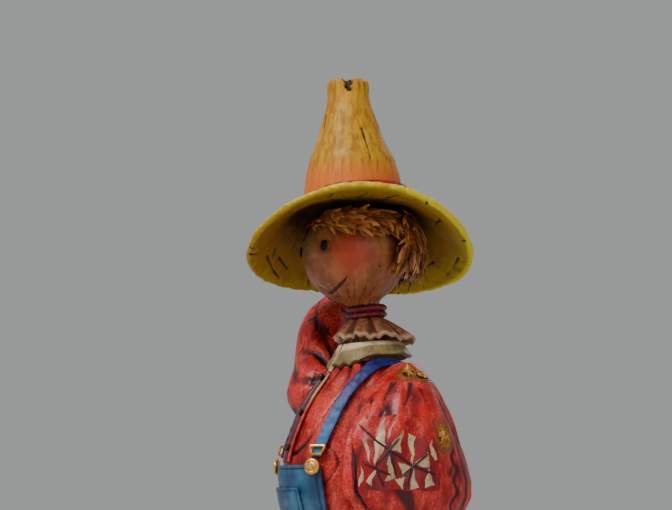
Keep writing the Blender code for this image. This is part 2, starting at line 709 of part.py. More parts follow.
def make_face():
    """Two bead eyes and one stitched smile laid on the sack."""
    for side, way in SIDES:
        middle = head_point(way * math.radians(28.5), math.radians(3.5), HEAD_RADIUS + GAP)
        normal = (middle - HEAD_CENTRE).normalized()
        shares = ((0, 0.85), (0.3, 1.0), (0.6, 0.85), (0.9, 0.45), (1.0, 0.15))
        loft("eye_" + side, [section(middle + normal * 1.0 * MM * up, normal, (1, 0, 0),
                                     1.8 * MM * share, 2.4 * MM * share)
                             for up, share in shares], BEAD_BLACK, 14)
    curve = bpy.data.curves.new("mouth_stitch", "CURVE")
    curve.dimensions = "3D"
    curve.bevel_depth = 0.5 * MM
    curve.bevel_resolution = 2
    curve.use_fill_caps = True
    smile = curve.splines.new("POLY")
    smile.points.add(16)
    for k, spot in enumerate(smile.points):
        share = k / 14 - 1 / 7
        elevation = math.radians(-55 + 21 * share ** 2)
        point = head_point(math.radians(52) * share, elevation, HEAD_RADIUS + GAP + 0.5 * MM)
        spot.co = (*point, 1)
    put("mouth_stitch", curve, STITCH_BROWN)


def make_hair():
    """Four locks of straw round the head, under the hat's brim."""
    locks = (("front", -38, 38, 28, 34, 0.6 * HAIR_THICKNESS),
             ("left", 40, 118, 15, 35, HAIR_THICKNESS),
             ("back", 121, 239, -24, 33, BACK_HAIR_THICKNESS),
             ("right", 242, 320, 15, 35, 0.6 * HAIR_THICKNESS))
    for name, start, end, low, high, thickness in locks:
        def place(u, v, start=start, end=end, low=low, high=high):
            return head_point(math.radians(start + (end - start) * u),
                              math.radians(low + (high - low) * v), HEAD_RADIUS + GAP)
        sheet("hair_" + name, place, max(6, round((end - start) / 9)),
              max(3, round((high - low) / 8)), thickness, STRAW_COPPER)


# --- Hat --------------------------------------------------------------------------------------------

BRIM_HOLE = (math.sqrt(HEAD_RADIUS ** 2 - (HEAD_RADIUS - BRIM_THICKNESS - 0.8 * MM) ** 2)
             + 2 * GAP)


def brim_rim(turn):
    """Radius and drop of the brim's edge, by angle from its turned-up side."""
    away = (1 - math.cos(turn)) / 2
    radius = BRIM_RADIUS - 7 * MM * away ** 3
    drop = (19.8 - 16.7 * math.cos(turn) - 4.1 * math.cos(2 * turn)
            - 0.6 * math.sin(2 * turn)) * MM
    return radius, drop


def make_brim():
    def place(u, v):
        turn = 2 * math.pi * u
        radius, drop = brim_rim(turn - NEAR_SIDE)
        reach = BRIM_HOLE + (radius - BRIM_HOLE) * (1 - v)
        droop = max(0.0, (reach - CROWN_RADIUS - BAND_THICKNESS)
                    / (radius - CROWN_RADIUS - BAND_THICKNESS))
        return Vector((reach * math.sin(turn), -HEAD_FORWARD * 0.55 * (1 - v) - HEAD_FORWARD * v
                       - reach * math.cos(turn), BRIM_TOP - drop * droop ** 1.15))

    sheet("hat_brim", place, 40, 7, BRIM_THICKNESS, STRAW_YELLOW, closed=True, outward=-1)


CROWN_STATIONS = [(0.0, 1.0), (0.17, 0.95), (0.33, 0.862), (0.58, 0.60), (0.82, 0.43),
                  (1.0, 0.385)]


def crown_ring(share, extra=0.0):
    radius = smooth_read(CROWN_STATIONS, share)[0] * CROWN_RADIUS + extra
    return section((0, -HEAD_FORWARD - CROWN_LEAN * share, CROWN_BOTTOM + CROWN_HEIGHT * share),
                   (0, 0, 1), (1, 0, 0), radius, radius)


def make_crown():
    loft("hat_crown", [crown_ring(k / 9) for k in range(10)], STRAW_YELLOW, 30)

    def band(u, v):
        ring = crown_ring((0.5 * MM + BAND_HEIGHT * v) / CROWN_HEIGHT, 2 * GAP)
        return ring[0] + ring[1] * math.sin(2 * math.pi * u) - ring[2].length * Vector(
            (0, math.cos(2 * math.pi * u), 0))

    sheet("hat_band", band, 32, 2, BAND_THICKNESS, BAND_CRIMSON, closed=True)


# --- Putting it together ------------------------------------------------------------------------------

def rod_with_hole(name, start, end, radius, finish, drilled):
    """A pin, and the clearance hole for it in each piece that it goes into."""
    start, end = Vector(start), Vector(end)
    way = (end - start).normalized()
    cylinder(name, start, end, radius, finish)
    hole = cylinder("hole_for_" + name, start - way * GAP, end + way * GAP, radius + GAP,
                    UNPAINTED, CUTTERS)
    for piece in drilled:
        boolean(piece, hole)


def build():
    plinth = make_base()
    seat = make_seat()
    torso = make_shirt()
    torso_space = loft("torso_space", torso_rings(GAP), UNPAINTED, 30, CUTTERS)
    strap_spaces = {}
    for side, way in SIDES:
        sole, boot, leg = make_sole(side, way), make_boot(side, way), make_leg(side, way)
        rod_with_hole("leg_rod_" + side, (way * BOOT_SPACING, 0, PLINTH_BOTTOM + 3 * MM),
                      (way * BOOT_SPACING, 0, WAIST - 8 * MM), ROD_RADIUS, STEEL,
                      (plinth, sole, boot, leg, seat))
        strap_spaces[side] = make_strap(side, way)
        make_buckle(side, way)
        make_collar(side, way)
    make_bib()
    rod_with_hole("waist_pin", (0, 0, WAIST - 12 * MM), (0, 0, TORSO_BOTTOM + 14 * MM),
                  DOWEL_RADIUS, STEEL, (seat, torso))

    left, right = left_sleeve_rings(), right_sleeve_rings()
    sleeve_left = make_arm("left", 1, left, torso_space, strap_spaces["left"])
    sleeve_right = make_arm("right", -1, right, torso_space, strap_spaces["right"])
    make_patch(left)
    pin_height = SHOULDER.z - 10 * MM
    for side, way, sleeve in (("left", 1, sleeve_left), ("right", -1, sleeve_right)):
        rod_with_hole("arm_pin_" + side, (way * (TORSO_HALF_WIDTH - 11 * MM), 0, pin_height),
                      (way * (TORSO_HALF_WIDTH + 8 * MM), 0, pin_height + 2 * MM), ROD_RADIUS,
                      STEEL, (torso, sleeve))

    head = make_head()
    rod_with_hole("neck_dowel", (0, 0, TORSO_TOP - 22 * MM), (0, 0, NECK_BOTTOM + 22 * MM),
                  DOWEL_RADIUS, BARE_WOOD, (torso, head))
    make_neck_trim()
    make_face()
    make_hair()
    make_brim()
    make_crown()


build()
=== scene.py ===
"""Scarecrow figurine: a cast resin figure, painted by hand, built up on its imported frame.

The figure stands on a round base, faces -Y and turns its head on a wooden dowel. Each
section makes one piece, or one group of like pieces, in the order they are put together.
"""
import math
import random

import bmesh
import bpy
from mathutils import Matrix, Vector, noise
from mathutils.bvhtree import BVHTree


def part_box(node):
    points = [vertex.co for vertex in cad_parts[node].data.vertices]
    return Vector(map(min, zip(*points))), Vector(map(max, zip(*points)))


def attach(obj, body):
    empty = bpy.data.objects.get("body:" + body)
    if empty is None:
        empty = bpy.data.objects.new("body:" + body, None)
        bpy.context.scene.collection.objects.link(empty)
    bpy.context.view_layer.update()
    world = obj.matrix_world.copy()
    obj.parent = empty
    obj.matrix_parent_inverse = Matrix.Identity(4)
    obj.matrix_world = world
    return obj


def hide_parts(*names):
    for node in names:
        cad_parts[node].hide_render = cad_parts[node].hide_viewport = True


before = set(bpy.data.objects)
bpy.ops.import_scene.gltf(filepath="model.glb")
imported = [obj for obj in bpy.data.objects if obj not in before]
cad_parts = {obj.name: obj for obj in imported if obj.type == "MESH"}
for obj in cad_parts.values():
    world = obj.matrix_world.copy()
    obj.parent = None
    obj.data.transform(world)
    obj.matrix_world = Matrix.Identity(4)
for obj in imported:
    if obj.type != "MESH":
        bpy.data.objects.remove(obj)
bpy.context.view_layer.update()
MM = 0.001


# --- Studio -------------------------------------------------------------------------------
# A pale table top and a plain grey room. One large soft light stands ahead of the figure and
# above it, a weaker one fills from the camera's side and a faint one stands behind the figure.
# The camera looks up a little.

def add_soft_light(name, place, aim, side, power):
    bpy.ops.object.light_add(type="AREA", location=place)
    lamp = bpy.context.object
    lamp.name = name
    lamp.data.shape = "DISK"
    lamp.data.size = side
    lamp.data.energy = power
    lamp.rotation_euler = (Vector(place) - Vector(aim)).to_track_quat("Z", "Y").to_euler()


chest = Vector((0, 0, 0.20))
add_soft_light("window_light", (0.35, -1.0, 1.25), chest, 0.7, 17)
add_soft_light("room_fill", (1.3, -0.1, 0.45), chest, 1.0, 2.6)
add_soft_light("back_light", (-0.8, 0.9, 0.9), chest, 0.7, 1.6)

room = bpy.data.worlds.new("room")
bpy.context.scene.world = room
room.use_nodes = True
room.node_tree.nodes["Background"].inputs["Color"].default_value = (0.345, 0.35, 0.352, 1)
room.node_tree.nodes["Background"].inputs["Strength"].default_value = 1.0

VIEW_AZIMUTH = math.radians(63)
VIEW_ELEVATION = math.radians(-8)
VIEW_DISTANCE = 0.67
towards_camera = Vector((math.sin(VIEW_AZIMUTH), -math.cos(VIEW_AZIMUTH), 0))
camera_right = Vector((math.cos(VIEW_AZIMUTH), math.sin(VIEW_AZIMUTH), 0))
camera_aim = Vector((0, 0, 0.2352)) - camera_right * 0.0126
bpy.ops.object.camera_add(location=camera_aim + VIEW_DISTANCE * (
    towards_camera * math.cos(VIEW_ELEVATION) + Vector((0, 0, math.sin(VIEW_ELEVATION)))))
camera = bpy.context.object
camera.rotation_euler = (camera.location - camera_aim).to_track_quat("Z", "Y").to_euler()
camera.data.lens = 85.5
bpy.context.scene.camera = camera

bpy.ops.mesh.primitive_plane_add(size=2.4, location=(0, 0, -0.2 * MM))
table_top = bpy.context.object
table_top.name = "table_top"
plain = bpy.data.materials.new("table_top_paper")
plain.use_nodes = True
plain.node_tree.nodes["Principled BSDF"].inputs["Base Color"].default_value = (0.6, 0.6, 0.59, 1)
plain.node_tree.nodes["Principled BSDF"].inputs["Roughness"].default_value = 0.8
table_top.data.materials.append(plain)


# --- Base -----------------------------------------------------------------------------------
# A round plinth, cast with rough ground on top and painted as trodden earth with loose
# straw. A green felt pad is glued underneath, and the two leg rods stand in it.

def only(piece):
    """Select one piece and nothing else."""
    if bpy.context.object and bpy.context.object.mode != "OBJECT":
        bpy.ops.object.mode_set(mode="OBJECT")
    bpy.ops.object.select_all(action="DESELECT")
    piece.select_set(True)
    bpy.context.view_layer.objects.active = piece


def work_modifier(piece, kind, **settings):
    """Add a modifier to a piece and apply it."""
    only(piece)
    bpy.ops.object.modifier_add(type=kind)
    modifier = piece.modifiers[-1]
    for key, value in settings.items():
        setattr(modifier, key, value)
    bpy.ops.object.modifier_apply(modifier=modifier.name)


def smooth_shaded(piece, angle=50):
    only(piece)
    bpy.ops.object.shade_smooth_by_angle(angle=math.radians(angle))
    return piece


def cast_over(name, nodes, grain, rounds=4):
    """An even fine skin over the named frame nodes, as one casting."""
    rough = bmesh.new()
    for node in nodes:
        rough.from_mesh(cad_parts[node].data)
    bmesh.ops.remove_doubles(rough, verts=rough.verts, dist=1e-6)
    mesh = bpy.data.meshes.new(name)
    rough.to_mesh(mesh)
    rough.free()
    piece = bpy.data.objects.new(name, mesh)
    bpy.context.scene.collection.objects.link(piece)
    work_modifier(piece, "REMESH", mode="VOXEL", voxel_size=grain)
    if rounds:
        work_modifier(piece, "SMOOTH", factor=0.5, iterations=rounds)
    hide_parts(*nodes)
    return piece


def keep(piece, name, values):
    """Store one value for each point of a piece, for its finish to read."""
    layer = piece.data.attributes.new(name, "FLOAT", "POINT")
    layer.data.foreach_set("value", values)


def carve(piece, tool):
    """Move each point along its normal by tool(point, normal) and keep the painted shade it gets.

    The tool gives a depth, positive outwards, and how much painted shade darkens the point, most in
    hollows and creases.
    """
    mesh = piece.data
    places = [vertex.co.copy() for vertex in mesh.vertices]
    normals = [vertex.normal.copy() for vertex in mesh.vertices]
    painted_shades = []
    for k, (place, normal) in enumerate(zip(places, normals)):
        depth, painted_shade = tool(place, normal)
        mesh.vertices[k].co = place + normal * depth
        painted_shades.append(max(0.0, min(1.0, painted_shade)))
    keep(piece, "painted_shade", painted_shades)
    mesh.update()
    return piece


def step_between(value, low, high):
    """0 below low, 1 above high, smooth between."""
    share = max(0.0, min(1.0, (value - low) / (high - low)))
    return share * share * (3 - 2 * share)


def rough_at(place, size, stretch=(1, 1, 1), seed=0.0):
    """Smooth noise from -1 to 1 with features of about this size."""
    return noise.noise(Vector((place.x * stretch[0], place.y * stretch[1],
                               place.z * stretch[2])) / size + Vector((seed, seed * 1.7, 0)))


class Tone:
    """A value in a finish's node tree that is worked out with ordinary arithmetic."""
    tree = None

    def __init__(self, socket):
        self.socket = socket

    @classmethod
    def node(cls, kind, inputs=None, output=0, **settings):
        made = cls.tree.nodes.new("ShaderNode" + kind)
        for key, value in settings.items():
            setattr(made, key, value)
        for key, value in (inputs or {}).items():
            if isinstance(value, cls):
                cls.tree.links.new(value.socket, made.inputs[key])
            else:
                made.inputs[key].default_value = value
        return cls(made.outputs[output]) if made.outputs else None

    @classmethod
    def maths(cls, operation, first, second=0.0):
        return cls.node("Math", {0: first, 1: second}, operation=operation)

    def __add__(self, other):
        return Tone.maths("ADD", self, other)

    def __radd__(self, other):
        return Tone.maths("ADD", other, self)

    def __sub__(self, other):
        return Tone.maths("SUBTRACT", self, other)

    def __rsub__(self, other):
        return Tone.maths("SUBTRACT", other, self)

    def __mul__(self, other):
        return Tone.maths("MULTIPLY", self, other)

    def __rmul__(self, other):
        return Tone.maths("MULTIPLY", other, self)

    def between(self, low, high):
        """0 where this is below low, 1 above high, smooth between."""
        return Tone.node("MapRange", {"Value": self, "From Min": low, "From Max": high},
                         interpolation_type="SMOOTHSTEP")


def placed(stretch=(1, 1, 1), shift=(0, 0, 0)):
    """Object coordinates in millimetres, stretched and shifted."""
    here = Tone.node("TexCoord", output=3)
    return Tone.node("Mapping", {"Vector": here, "Location": shift,
                                 "Scale": [1000 * part for part in stretch]})


def placed_along(axis):
    """One object coordinate in millimetres: 0 for x, 1 for y, 2 for z."""
    return Tone.node("SeparateXYZ", {0: placed()}, output=axis)


def distance_from(spot):
    """Millimetres from a spot that is given in metres."""
    return Tone.node("VectorMath", {0: placed(), 1: [1000 * part for part in spot]},
                     output=1, operation="DISTANCE")


def mottle(size, stretch=(1, 1, 1), detail=4.0, shift=(0, 0, 0)):
    """Cloudy noise, 0 to 1, with patches of about size millimetres."""
    return Tone.node("TexNoise", {"Vector": placed(stretch, shift), "Scale": 1 / size,
                                  "Detail": detail, "Roughness": 0.6})


def crazing(size, width):
    """1 along the cracks of crazed paint, 0 between them."""
    bent = Tone.node("VectorMath", {0: placed(), 1: Tone.node(
        "TexNoise", {"Vector": placed(), "Scale": 0.35, "Detail": 3.0}, output=1)},
        operation="ADD")
    edge = Tone.node("TexVoronoi", {"Vector": bent, "Scale": 1 / size}, output=0,
                     feature="DISTANCE_TO_EDGE")
    return 1 - edge.between(0.0, width)


def stored(name):
    """A value kept on the piece's own points."""
    return Tone.node("Attribute", output=2, attribute_name=name)


def colour(red, green, blue):
    """A linear colour from 0-255 paint values."""
    def linear(value):
        share = value / 255
        return share / 12.92 if share <= 0.04045 else ((share + 0.055) / 1.055) ** 2.4
    return (linear(red), linear(green), linear(blue), 1)


def over(under, top, amount):
    """One colour painted over another by amount."""
    return Tone.node("Mix", {0: amount, 6: under, 7: top}, output=2, data_type="RGBA")


def open_finish(name):
    finish = bpy.data.materials.new(name)
    finish.use_nodes = True
    finish.node_tree.nodes.clear()
    Tone.tree = finish.node_tree
    return finish


def close_finish(finish, base, roughness, relief=None, depth=0.2, metallic=0.0, coat=0.35):
    """Join the colour, roughness and relief (depth in millimetres) to a painted surface."""
    inputs = {"Base Color": base, "Roughness": roughness, "Metallic": metallic,
              "Coat Weight": coat, "Coat Roughness": 0.22, "Specular IOR Level": 0.3}
    if relief is not None:
        inputs["Normal"] = Tone.node("Bump", {"Height": relief, "Distance": depth * MM,
                                              "Strength": 1.0})
    surface = Tone.node("BsdfPrincipled", inputs)
    Tone.node("OutputMaterial", {"Surface": surface})
    return finish


def paint(piece, finish, body):
    """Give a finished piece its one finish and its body."""
    piece.data.materials.clear()
    piece.data.materials.append(finish)
    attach(piece, body)
    return piece


def repaint(node, finish):
    """A better finish on a frame node that is shown as it is."""
    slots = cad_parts[node].data.materials
    slots.clear()
    slots.append(finish)


# Painted shade: a little on the plinth's sides, and on top it deepens in the hollows between clods.
def ground(place, normal):
    if normal.z < 0.4:
        return 0.15 * MM * rough_at(place, 2.5 * MM, (1, 1, 3)) - 0.2 * MM, 0.2
    clods = rough_at(place, 5 * MM) * 0.6 + rough_at(place, 1.8 * MM, seed=4) * 0.4
    return (0.5 * clods - 0.55) * MM, 0.5 - 0.6 * clods


earth = open_finish("earth_paint")
loam = mottle(6.0)
base_brown = over(colour(96, 62, 30), colour(150, 112, 52), loam.between(0.35, 0.65))
# Painted shade darkens the earth towards black in its hollows.
base_brown = over(base_brown, colour(28, 16, 8), stored("painted_shade").between(0.45, 0.95))
close_finish(earth, base_brown, 0.62 + mottle(1.0) * 0.2, mottle(0.8), 0.15)
plinth = cast_over("ground_plinth", ["base_plinth"], 1.0 * MM, 1)
carve(plinth, ground)
paint(smooth_shaded(plinth), earth, "figure")

felt = open_finish("felt_pad")
close_finish(felt, over(colour(20, 58, 36), colour(36, 84, 52), mottle(0.7)),
             0.95, mottle(0.35), 0.12, coat=0.0)
repaint("base_felt_pad", felt)

steel = open_finish("pin_steel")
close_finish(steel, colour(150, 150, 154), 0.3 + mottle(0.6, (1, 1, 0.1)) * 0.15,
             mottle(0.5, (1, 1, 0.1)), 0.02, metallic=1.0, coat=0.0)
for pin in ("leg_rod_left", "leg_rod_right", "waist_pin", "arm_pin_left", "arm_pin_right"):
    repaint(pin, steel)

STRAW_LENGTH = 9 * MM


def add_straw(bundle, root, tip, width, thickness):
    """One flat pointed stalk of straw, added to the bundle as eight faces."""
    along = tip - root
    side = along.cross(Vector((0.13, 0.31, 0.94))).normalized() * width / 2
    rise = side.cross(along).normalized() * thickness / 2
    rows = []
    for share, size in ((0, 0.55), (0.45, 1.0), (1, 0.12)):
        middle = root + along * share + rise * 2.0 * math.sin(math.pi * share)
        rows.append([bundle.verts.new(middle + side * size * a + rise * size * b)
                     for a, b in ((-1, -1), (1, -1), (1, 1), (-1, 1))])
    for low, high in zip(rows, rows[1:]):
        for k in range(4):
            bundle.faces.new((low[k], low[(k + 1) % 4], high[(k + 1) % 4], high[k]))
    bundle.faces.new(rows[0][::-1])
    bundle.faces.new(rows[-1])


def finished_bundle(name, bundle):
    mesh = bpy.data.meshes.new(name)
    bmesh.ops.recalc_face_normals(bundle, faces=bundle.faces)
    bundle.to_mesh(mesh)
    bundle.free()
    piece = bpy.data.objects.new(name, mesh)
    bpy.context.scene.collection.objects.link(piece)
    return piece


straw_paint = open_finish("loose_straw")
stalk = mottle(2.5, (1, 1, 0.4))
dry_yellow = over(colour(168, 112, 28), colour(226, 186, 84), stalk.between(0.35, 0.65))
close_finish(straw_paint, dry_yellow, 0.45 + mottle(1.0) * 0.2, mottle(0.5, (1, 1, 0.2)), 0.08)

draw = random.Random(11)
plinth_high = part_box("base_plinth")[1]
BOOT_ROOM = 24 * MM
litter = bmesh.new()
for _ in range(90):
    reach = (plinth_high.x - 6 * MM) * math.sqrt(draw.random())
    turn = draw.uniform(0, 2 * math.pi)
    root = Vector((reach * math.cos(turn), reach * math.sin(turn), plinth_high.z - 0.35 * MM))
    way = draw.uniform(0, 2 * math.pi)
    length = draw.uniform(0.4, 1.0) * STRAW_LENGTH
    tip = root + Vector((math.cos(way) * length, math.sin(way) * length, 0.1 * MM))
    clear_of_boots = max(abs(root.x), abs(root.y)) > BOOT_ROOM
    if tip.xy.length < plinth_high.x - 3 * MM and clear_of_boots:
        add_straw(litter, root, tip, 1.0 * MM, 0.5 * MM)
litter = finished_bundle("straw_litter", litter)
paint(litter, straw_paint, "figure")


# --- Boots ------------------------------------------------------------------------------------
# Stout lace-up work boots, each cast in one piece and painted as worn brown leather, on a
# separate dark sole.

def boot_tool(box):
    low, high = box
    middle = (low.x + high.x) / 2

    def tool(place, normal):
        height = (place.z - low.z) / (high.z - low.z)
        depth = 0.10 * rough_at(place, 1.6 * MM)
        painted_shade = 0.25
        for level in (0.52, 0.60, 0.68):
            wobble = 0.02 * rough_at(place, 6 * MM, seed=level * 9)
            crease = max(0.0, 1 - abs(height - level - wobble) / 0.022)
            crease *= step_between(rough_at(place, 8 * MM, seed=level * 31), -0.4, 0.2)
            depth -= 0.45 * crease
            painted_shade += 0.6 * crease
        toe_cap = max(0.0, 1 - abs(place.y - low.y - 11 * MM - (place.x - middle) ** 2 * 60)
                      / (0.7 * MM)) * step_between(place.z, low.z, low.z + 2 * MM)
        if height < 0.5:
            depth -= 0.4 * toe_cap
            painted_shade += 0.6 * toe_cap
        cuff = max(0.0, 1 - abs(height - 0.9) / 0.02)
        return (depth - 0.5 * cuff - 0.1) * MM, painted_shade + 0.6 * cuff
    return tool


boot_paint = open_finish("boot_leather_paint")
hide = over(colour(70, 36, 16), colour(120, 70, 34), mottle(3.0).between(0.4, 0.7))
# Painted shade darkens the leather in its creases, round the toe cap and at the cuff.
hide = over(hide, colour(18, 9, 5), stored("painted_shade").between(0.3, 0.95))
close_finish(boot_paint, hide, 0.38 + mottle(1.5) * 0.25, mottle(0.7), 0.08)

sole_paint = open_finish("boot_sole_paint")
close_finish(sole_paint, over(colour(30, 20, 14), colour(62, 44, 30), mottle(1.2)),
             0.6 + mottle(1.0) * 0.2, mottle(0.6, (1, 1, 4)), 0.15)

lace_paint = open_finish("boot_lace_paint")
close_finish(lace_paint, over(colour(160, 128, 80), colour(96, 66, 36), mottle(0.8)),
             0.6 + mottle(0.5) * 0.2, mottle(0.3), 0.05)

for side in ("left", "right"):
    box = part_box("boot_" + side)
    boot = cast_over("boot_" + side + "_leather", ["boot_" + side], 0.55 * MM, 3)
    carve(boot, boot_tool(box))
    paint(smooth_shaded(boot), boot_paint, "figure")
    repaint("boot_sole_" + side, sole_paint)
    surface = BVHTree.FromObject(boot, bpy.context.evaluated_depsgraph_get())
    middle = (box[0].x + box[1].x) / 2
    laces = bmesh.new()
    for row in range(4):
        for lean in (-1, 1):
            ends = []
            for across, up in ((-2.6 * lean, 0.0), (2.6 * lean, 2.4)):
                start = Vector((middle + across * MM, box[0].y - 10 * MM,
                                box[0].z + (14.5 + 3.0 * row + up) * MM))
                hit = surface.ray_cast(start, Vector((0, 1, 0)))[0]
                ends.append(hit + Vector((0, -0.3 * MM, 0)))
            add_straw(laces, ends[0], ends[1], 1.0 * MM, 0.9 * MM)
    laces = finished_bundle("boot_laces_" + side, laces)
    paint(laces, lace_paint, "figure")


# --- Trousers ------------------------------------------------------------------------------------
# The lower half of the overalls, cast in one piece with the hips: baggy blue denim, worn pale
# on the folds, with a sewn patch on the right knee and straw coming out at the hems.

seat_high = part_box("overalls_seat")[1]
leg_low, leg_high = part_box("trouser_leg_left")
knee = Vector((-(leg_low.x + leg_high.x) / 2, leg_low.y, leg_low.z + 30 * MM))
KNEE_PATCH_HALF = 7.5 * MM


def fold_line(value, width):
    """A crease: 1 on its line, 0 a width away."""
    return max(0.0, 1 - abs(value) / width) ** 1.5


def denim_tool(place, normal):
    height = (place.z - leg_low.z) / (seat_high.z - leg_low.z)
    sway = rough_at(place, 14 * MM, (1, 1, 0.55), 2.0)
    cross = rough_at(place, 9 * MM, (0.6, 0.6, 1.6), 7.0)
    depth = 0.7 * sway + 0.5 * cross * step_between(0.75 - height, 0.0, 0.3) - 0.35
    painted_shade = 0.35 - 0.75 * sway - 0.3 * cross
    sharp = fold_line(rough_at(place, 17 * MM, (1, 1, 0.7), 12.0), 0.07)
    depth -= 0.6 * sharp
    painted_shade += 0.5 * sharp
    seam = fold_line(place.y, 0.5 * MM) * step_between(abs(place.x), 8 * MM, 12 * MM)
    depth -= 0.35 * seam
    painted_shade += 0.45 * seam
    waistband = fold_line(place.z - seat_high.z + 4.5 * MM, 0.5 * MM)
    hem = fold_line(place.z - leg_low.z - 3.2 * MM, 0.45 * MM)
    depth -= 0.4 * max(waistband, hem)
    painted_shade += 0.5 * max(waistband, hem)
    if place.y < -6 * MM:
        edge = max(abs(place.x - knee.x), abs(place.z - knee.z)) - KNEE_PATCH_HALF
        depth += 0.5 * step_between(-edge, 0, 0.5 * MM)
        painted_shade += 0.5 * fold_line(edge, 0.7 * MM)
    return depth * MM, painted_shade


denim_paint = open_finish("denim_paint")
weave = mottle(0.45, (1, 1, 0.35)) + mottle(0.45, (0.35, 0.35, 1))
fade = mottle(9.0, (1, 1, 0.5))
blue = over(colour(18, 58, 98), colour(58, 118, 152), fade.between(0.35, 0.7))
blue = over(blue, colour(110, 158, 178), (0.35 - stored("painted_shade")).between(0.0, 0.6))
# Painted shade darkens the denim in its folds, seams, waistband and hems and round the knee patch.
blue = over(blue, colour(8, 20, 40), stored("painted_shade").between(0.35, 0.9))
close_finish(denim_paint, blue, 0.34 + fade * 0.2, weave, 0.08, coat=0.3)

trousers = cast_over("trousers", ["overalls_seat", "trouser_leg_left", "trouser_leg_right"],
                     0.75 * MM, 6)
carve(trousers, denim_tool)
paint(smooth_shaded(trousers), denim_paint, "figure")

cloth = BVHTree.FromObject(trousers, bpy.context.evaluated_depsgraph_get())
thread_paint = open_finish("thread_paint")
close_finish(thread_paint, over(colour(74, 12, 12), colour(38, 8, 8), mottle(1.5)),
             0.5 + mottle(0.5) * 0.2, mottle(0.3), 0.05)


def stitch_between(bundle, surface, start, end, way, width):
    """One thick thread laid on a surface, found by looking along way."""
    ends = []
    for spot in (start, end):
        hit = surface.ray_cast(spot - way * 30 * MM, way)[0]
        if hit is None:
            return
        ends.append(hit - way * 0.12 * MM)
    add_straw(bundle, ends[0], ends[1], width, width * 0.8)


patch_threads = bmesh.new()
for k in range(6):
    along = (k / 5 * 2 - 1) * (KNEE_PATCH_HALF - 1 * MM)
    for edge in (-KNEE_PATCH_HALF, KNEE_PATCH_HALF):
        for inner, outer in (((along, edge - 1.3 * MM), (along + 0.5 * MM, edge + 1.3 * MM)),
                             ((edge - 1.3 * MM, along), (edge + 1.3 * MM, along + 0.5 * MM))):
            ends = [Vector((knee.x + across, -20 * MM, knee.z + up)) for across, up in
                    (inner, outer)]
            stitch_between(patch_threads, cloth, ends[0], ends[1], Vector((0, 1, 0)), 0.8 * MM)
patch_threads = finished_bundle("knee_patch_threads", patch_threads)
paint(patch_threads, thread_paint, "figure")

hem_straw = bmesh.new()
for way in (-1, 1):
    for k in range(34):
        turn = 2 * math.pi * (k + draw.random()) / 34
        around = Vector((math.cos(turn) * 9.5 * MM, math.sin(turn) * 10.8 * MM, 0))
        root = Vector((-way * knee.x, 1 * MM, leg_low.z + 1.5 * MM)) + around * 0.95
        tip = root + around.normalized() * draw.uniform(0.2, 2.0) * MM
        tip.z -= draw.uniform(3.5, 7.5) * MM
        add_straw(hem_straw, root, tip, 1.3 * MM, 0.6 * MM)
hem_straw = finished_bundle("hem_straw", hem_straw)
paint(hem_straw, straw_paint, "figure")


# --- Shirt body ---------------------------------------------------------------------------------
# The chest and back of the shirt in one casting, with gathers at the neck and folds under the
# straps. It is painted red, marbled with pink and beige and crazed, with painted shade in the folds.

torso_low, torso_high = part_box("shirt_torso")


def shirt_tool(place, normal):
    height = (place.z - torso_low.z) / (torso_high.z - torso_low.z)
    turn = math.atan2(place.x, -place.y)
    gathers = math.sin(turn * 17 + 2.5 * rough_at(place, 11 * MM, seed=3.0))
    gathers *= step_between(height, 0.62, 0.95) + 0.6 * step_between(0.3 - height, 0, 0.3)
    sway = rough_at(place, 13 * MM, (1, 1, 0.5), 5.0)
    depth = 0.38 * gathers + 0.55 * sway - 0.55
    painted_shade = 0.3 - 0.45 * gathers - 0.6 * sway
    crease = fold_line(rough_at(place, 15 * MM, (1, 1, 0.6), 21.0), 0.06)
    return (depth - 0.5 * crease) * MM, painted_shade + 0.6 * crease


def shirt_colours(seed):
    """The marbled red of the shirt, before tears and patches are painted on it."""
    clouds = mottle(7.0, (1, 1, 0.7), shift=(seed, 0, 0))
    streaks = mottle(2.6, (1, 1, 0.28), detail=6.0, shift=(0, seed, 0))
    dabs = mottle(3.6, detail=5.0, shift=(seed, seed, 3))
    veins = mottle(1.5, (1, 1, 0.2), detail=2.0, shift=(seed, 5, 0))
    red = over(colour(160, 14, 14), colour(216, 36, 26), clouds.between(0.35, 0.6))
    red = over(red, colour(226, 96, 78), streaks.between(0.54, 0.72) * 0.85)
    red = over(red, colour(196, 130, 92), dabs.between(0.6, 0.74) * 0.55)
    red = over(red, colour(232, 122, 104), crazing(1.7, 0.12) * clouds.between(0.4, 0.6) * 0.5)
    red = over(red, colour(216, 26, 16), mottle(5.0, shift=(3, seed, 9)).between(0.56, 0.66) * 0.8)
    red = over(red, colour(126, 10, 18), (1 - Tone.maths("ABSOLUTE", veins - 0.5).between(
        0.0, 0.035)) * 0.55)
    # Painted shade: two steps of dark crimson in the folds, gathers and grooves.
    red = over(red, colour(84, 10, 22), stored("painted_shade").between(0.3, 0.75))
    return over(red, colour(34, 8, 14), stored("painted_shade").between(0.7, 1.0)), clouds, streaks


def shirt_relief(streaks):
    return streaks * 0.8 - crazing(1.7, 0.12) * 0.3 + mottle(0.9) * 0.4


shirt_paint = open_finish("shirt_paint")
red, clouds, streaks = shirt_colours(0.0)
close_finish(shirt_paint, red, 0.28 + clouds * 0.25, shirt_relief(streaks), 0.13, coat=0.25)

shirt = cast_over("shirt_body", ["shirt_torso"], 0.7 * MM, 3)
carve(shirt, shirt_tool)
paint(smooth_shaded(shirt), shirt_paint, "figure")
chest_surface = BVHTree.FromObject(shirt, bpy.context.evaluated_depsgraph_get())


# The front opening: a raised placket with a cream turned edge on either side, held by three
# dark buttons that are cast on.

def placket_tool(place, normal):
    rim = step_between(abs(place.x), 1.5 * MM, 2.4 * MM)
    return (0.12 * rough_at(place, 3 * MM) - 0.1 + 0.25 * rim) * MM, 0.75 * (1 - rim)


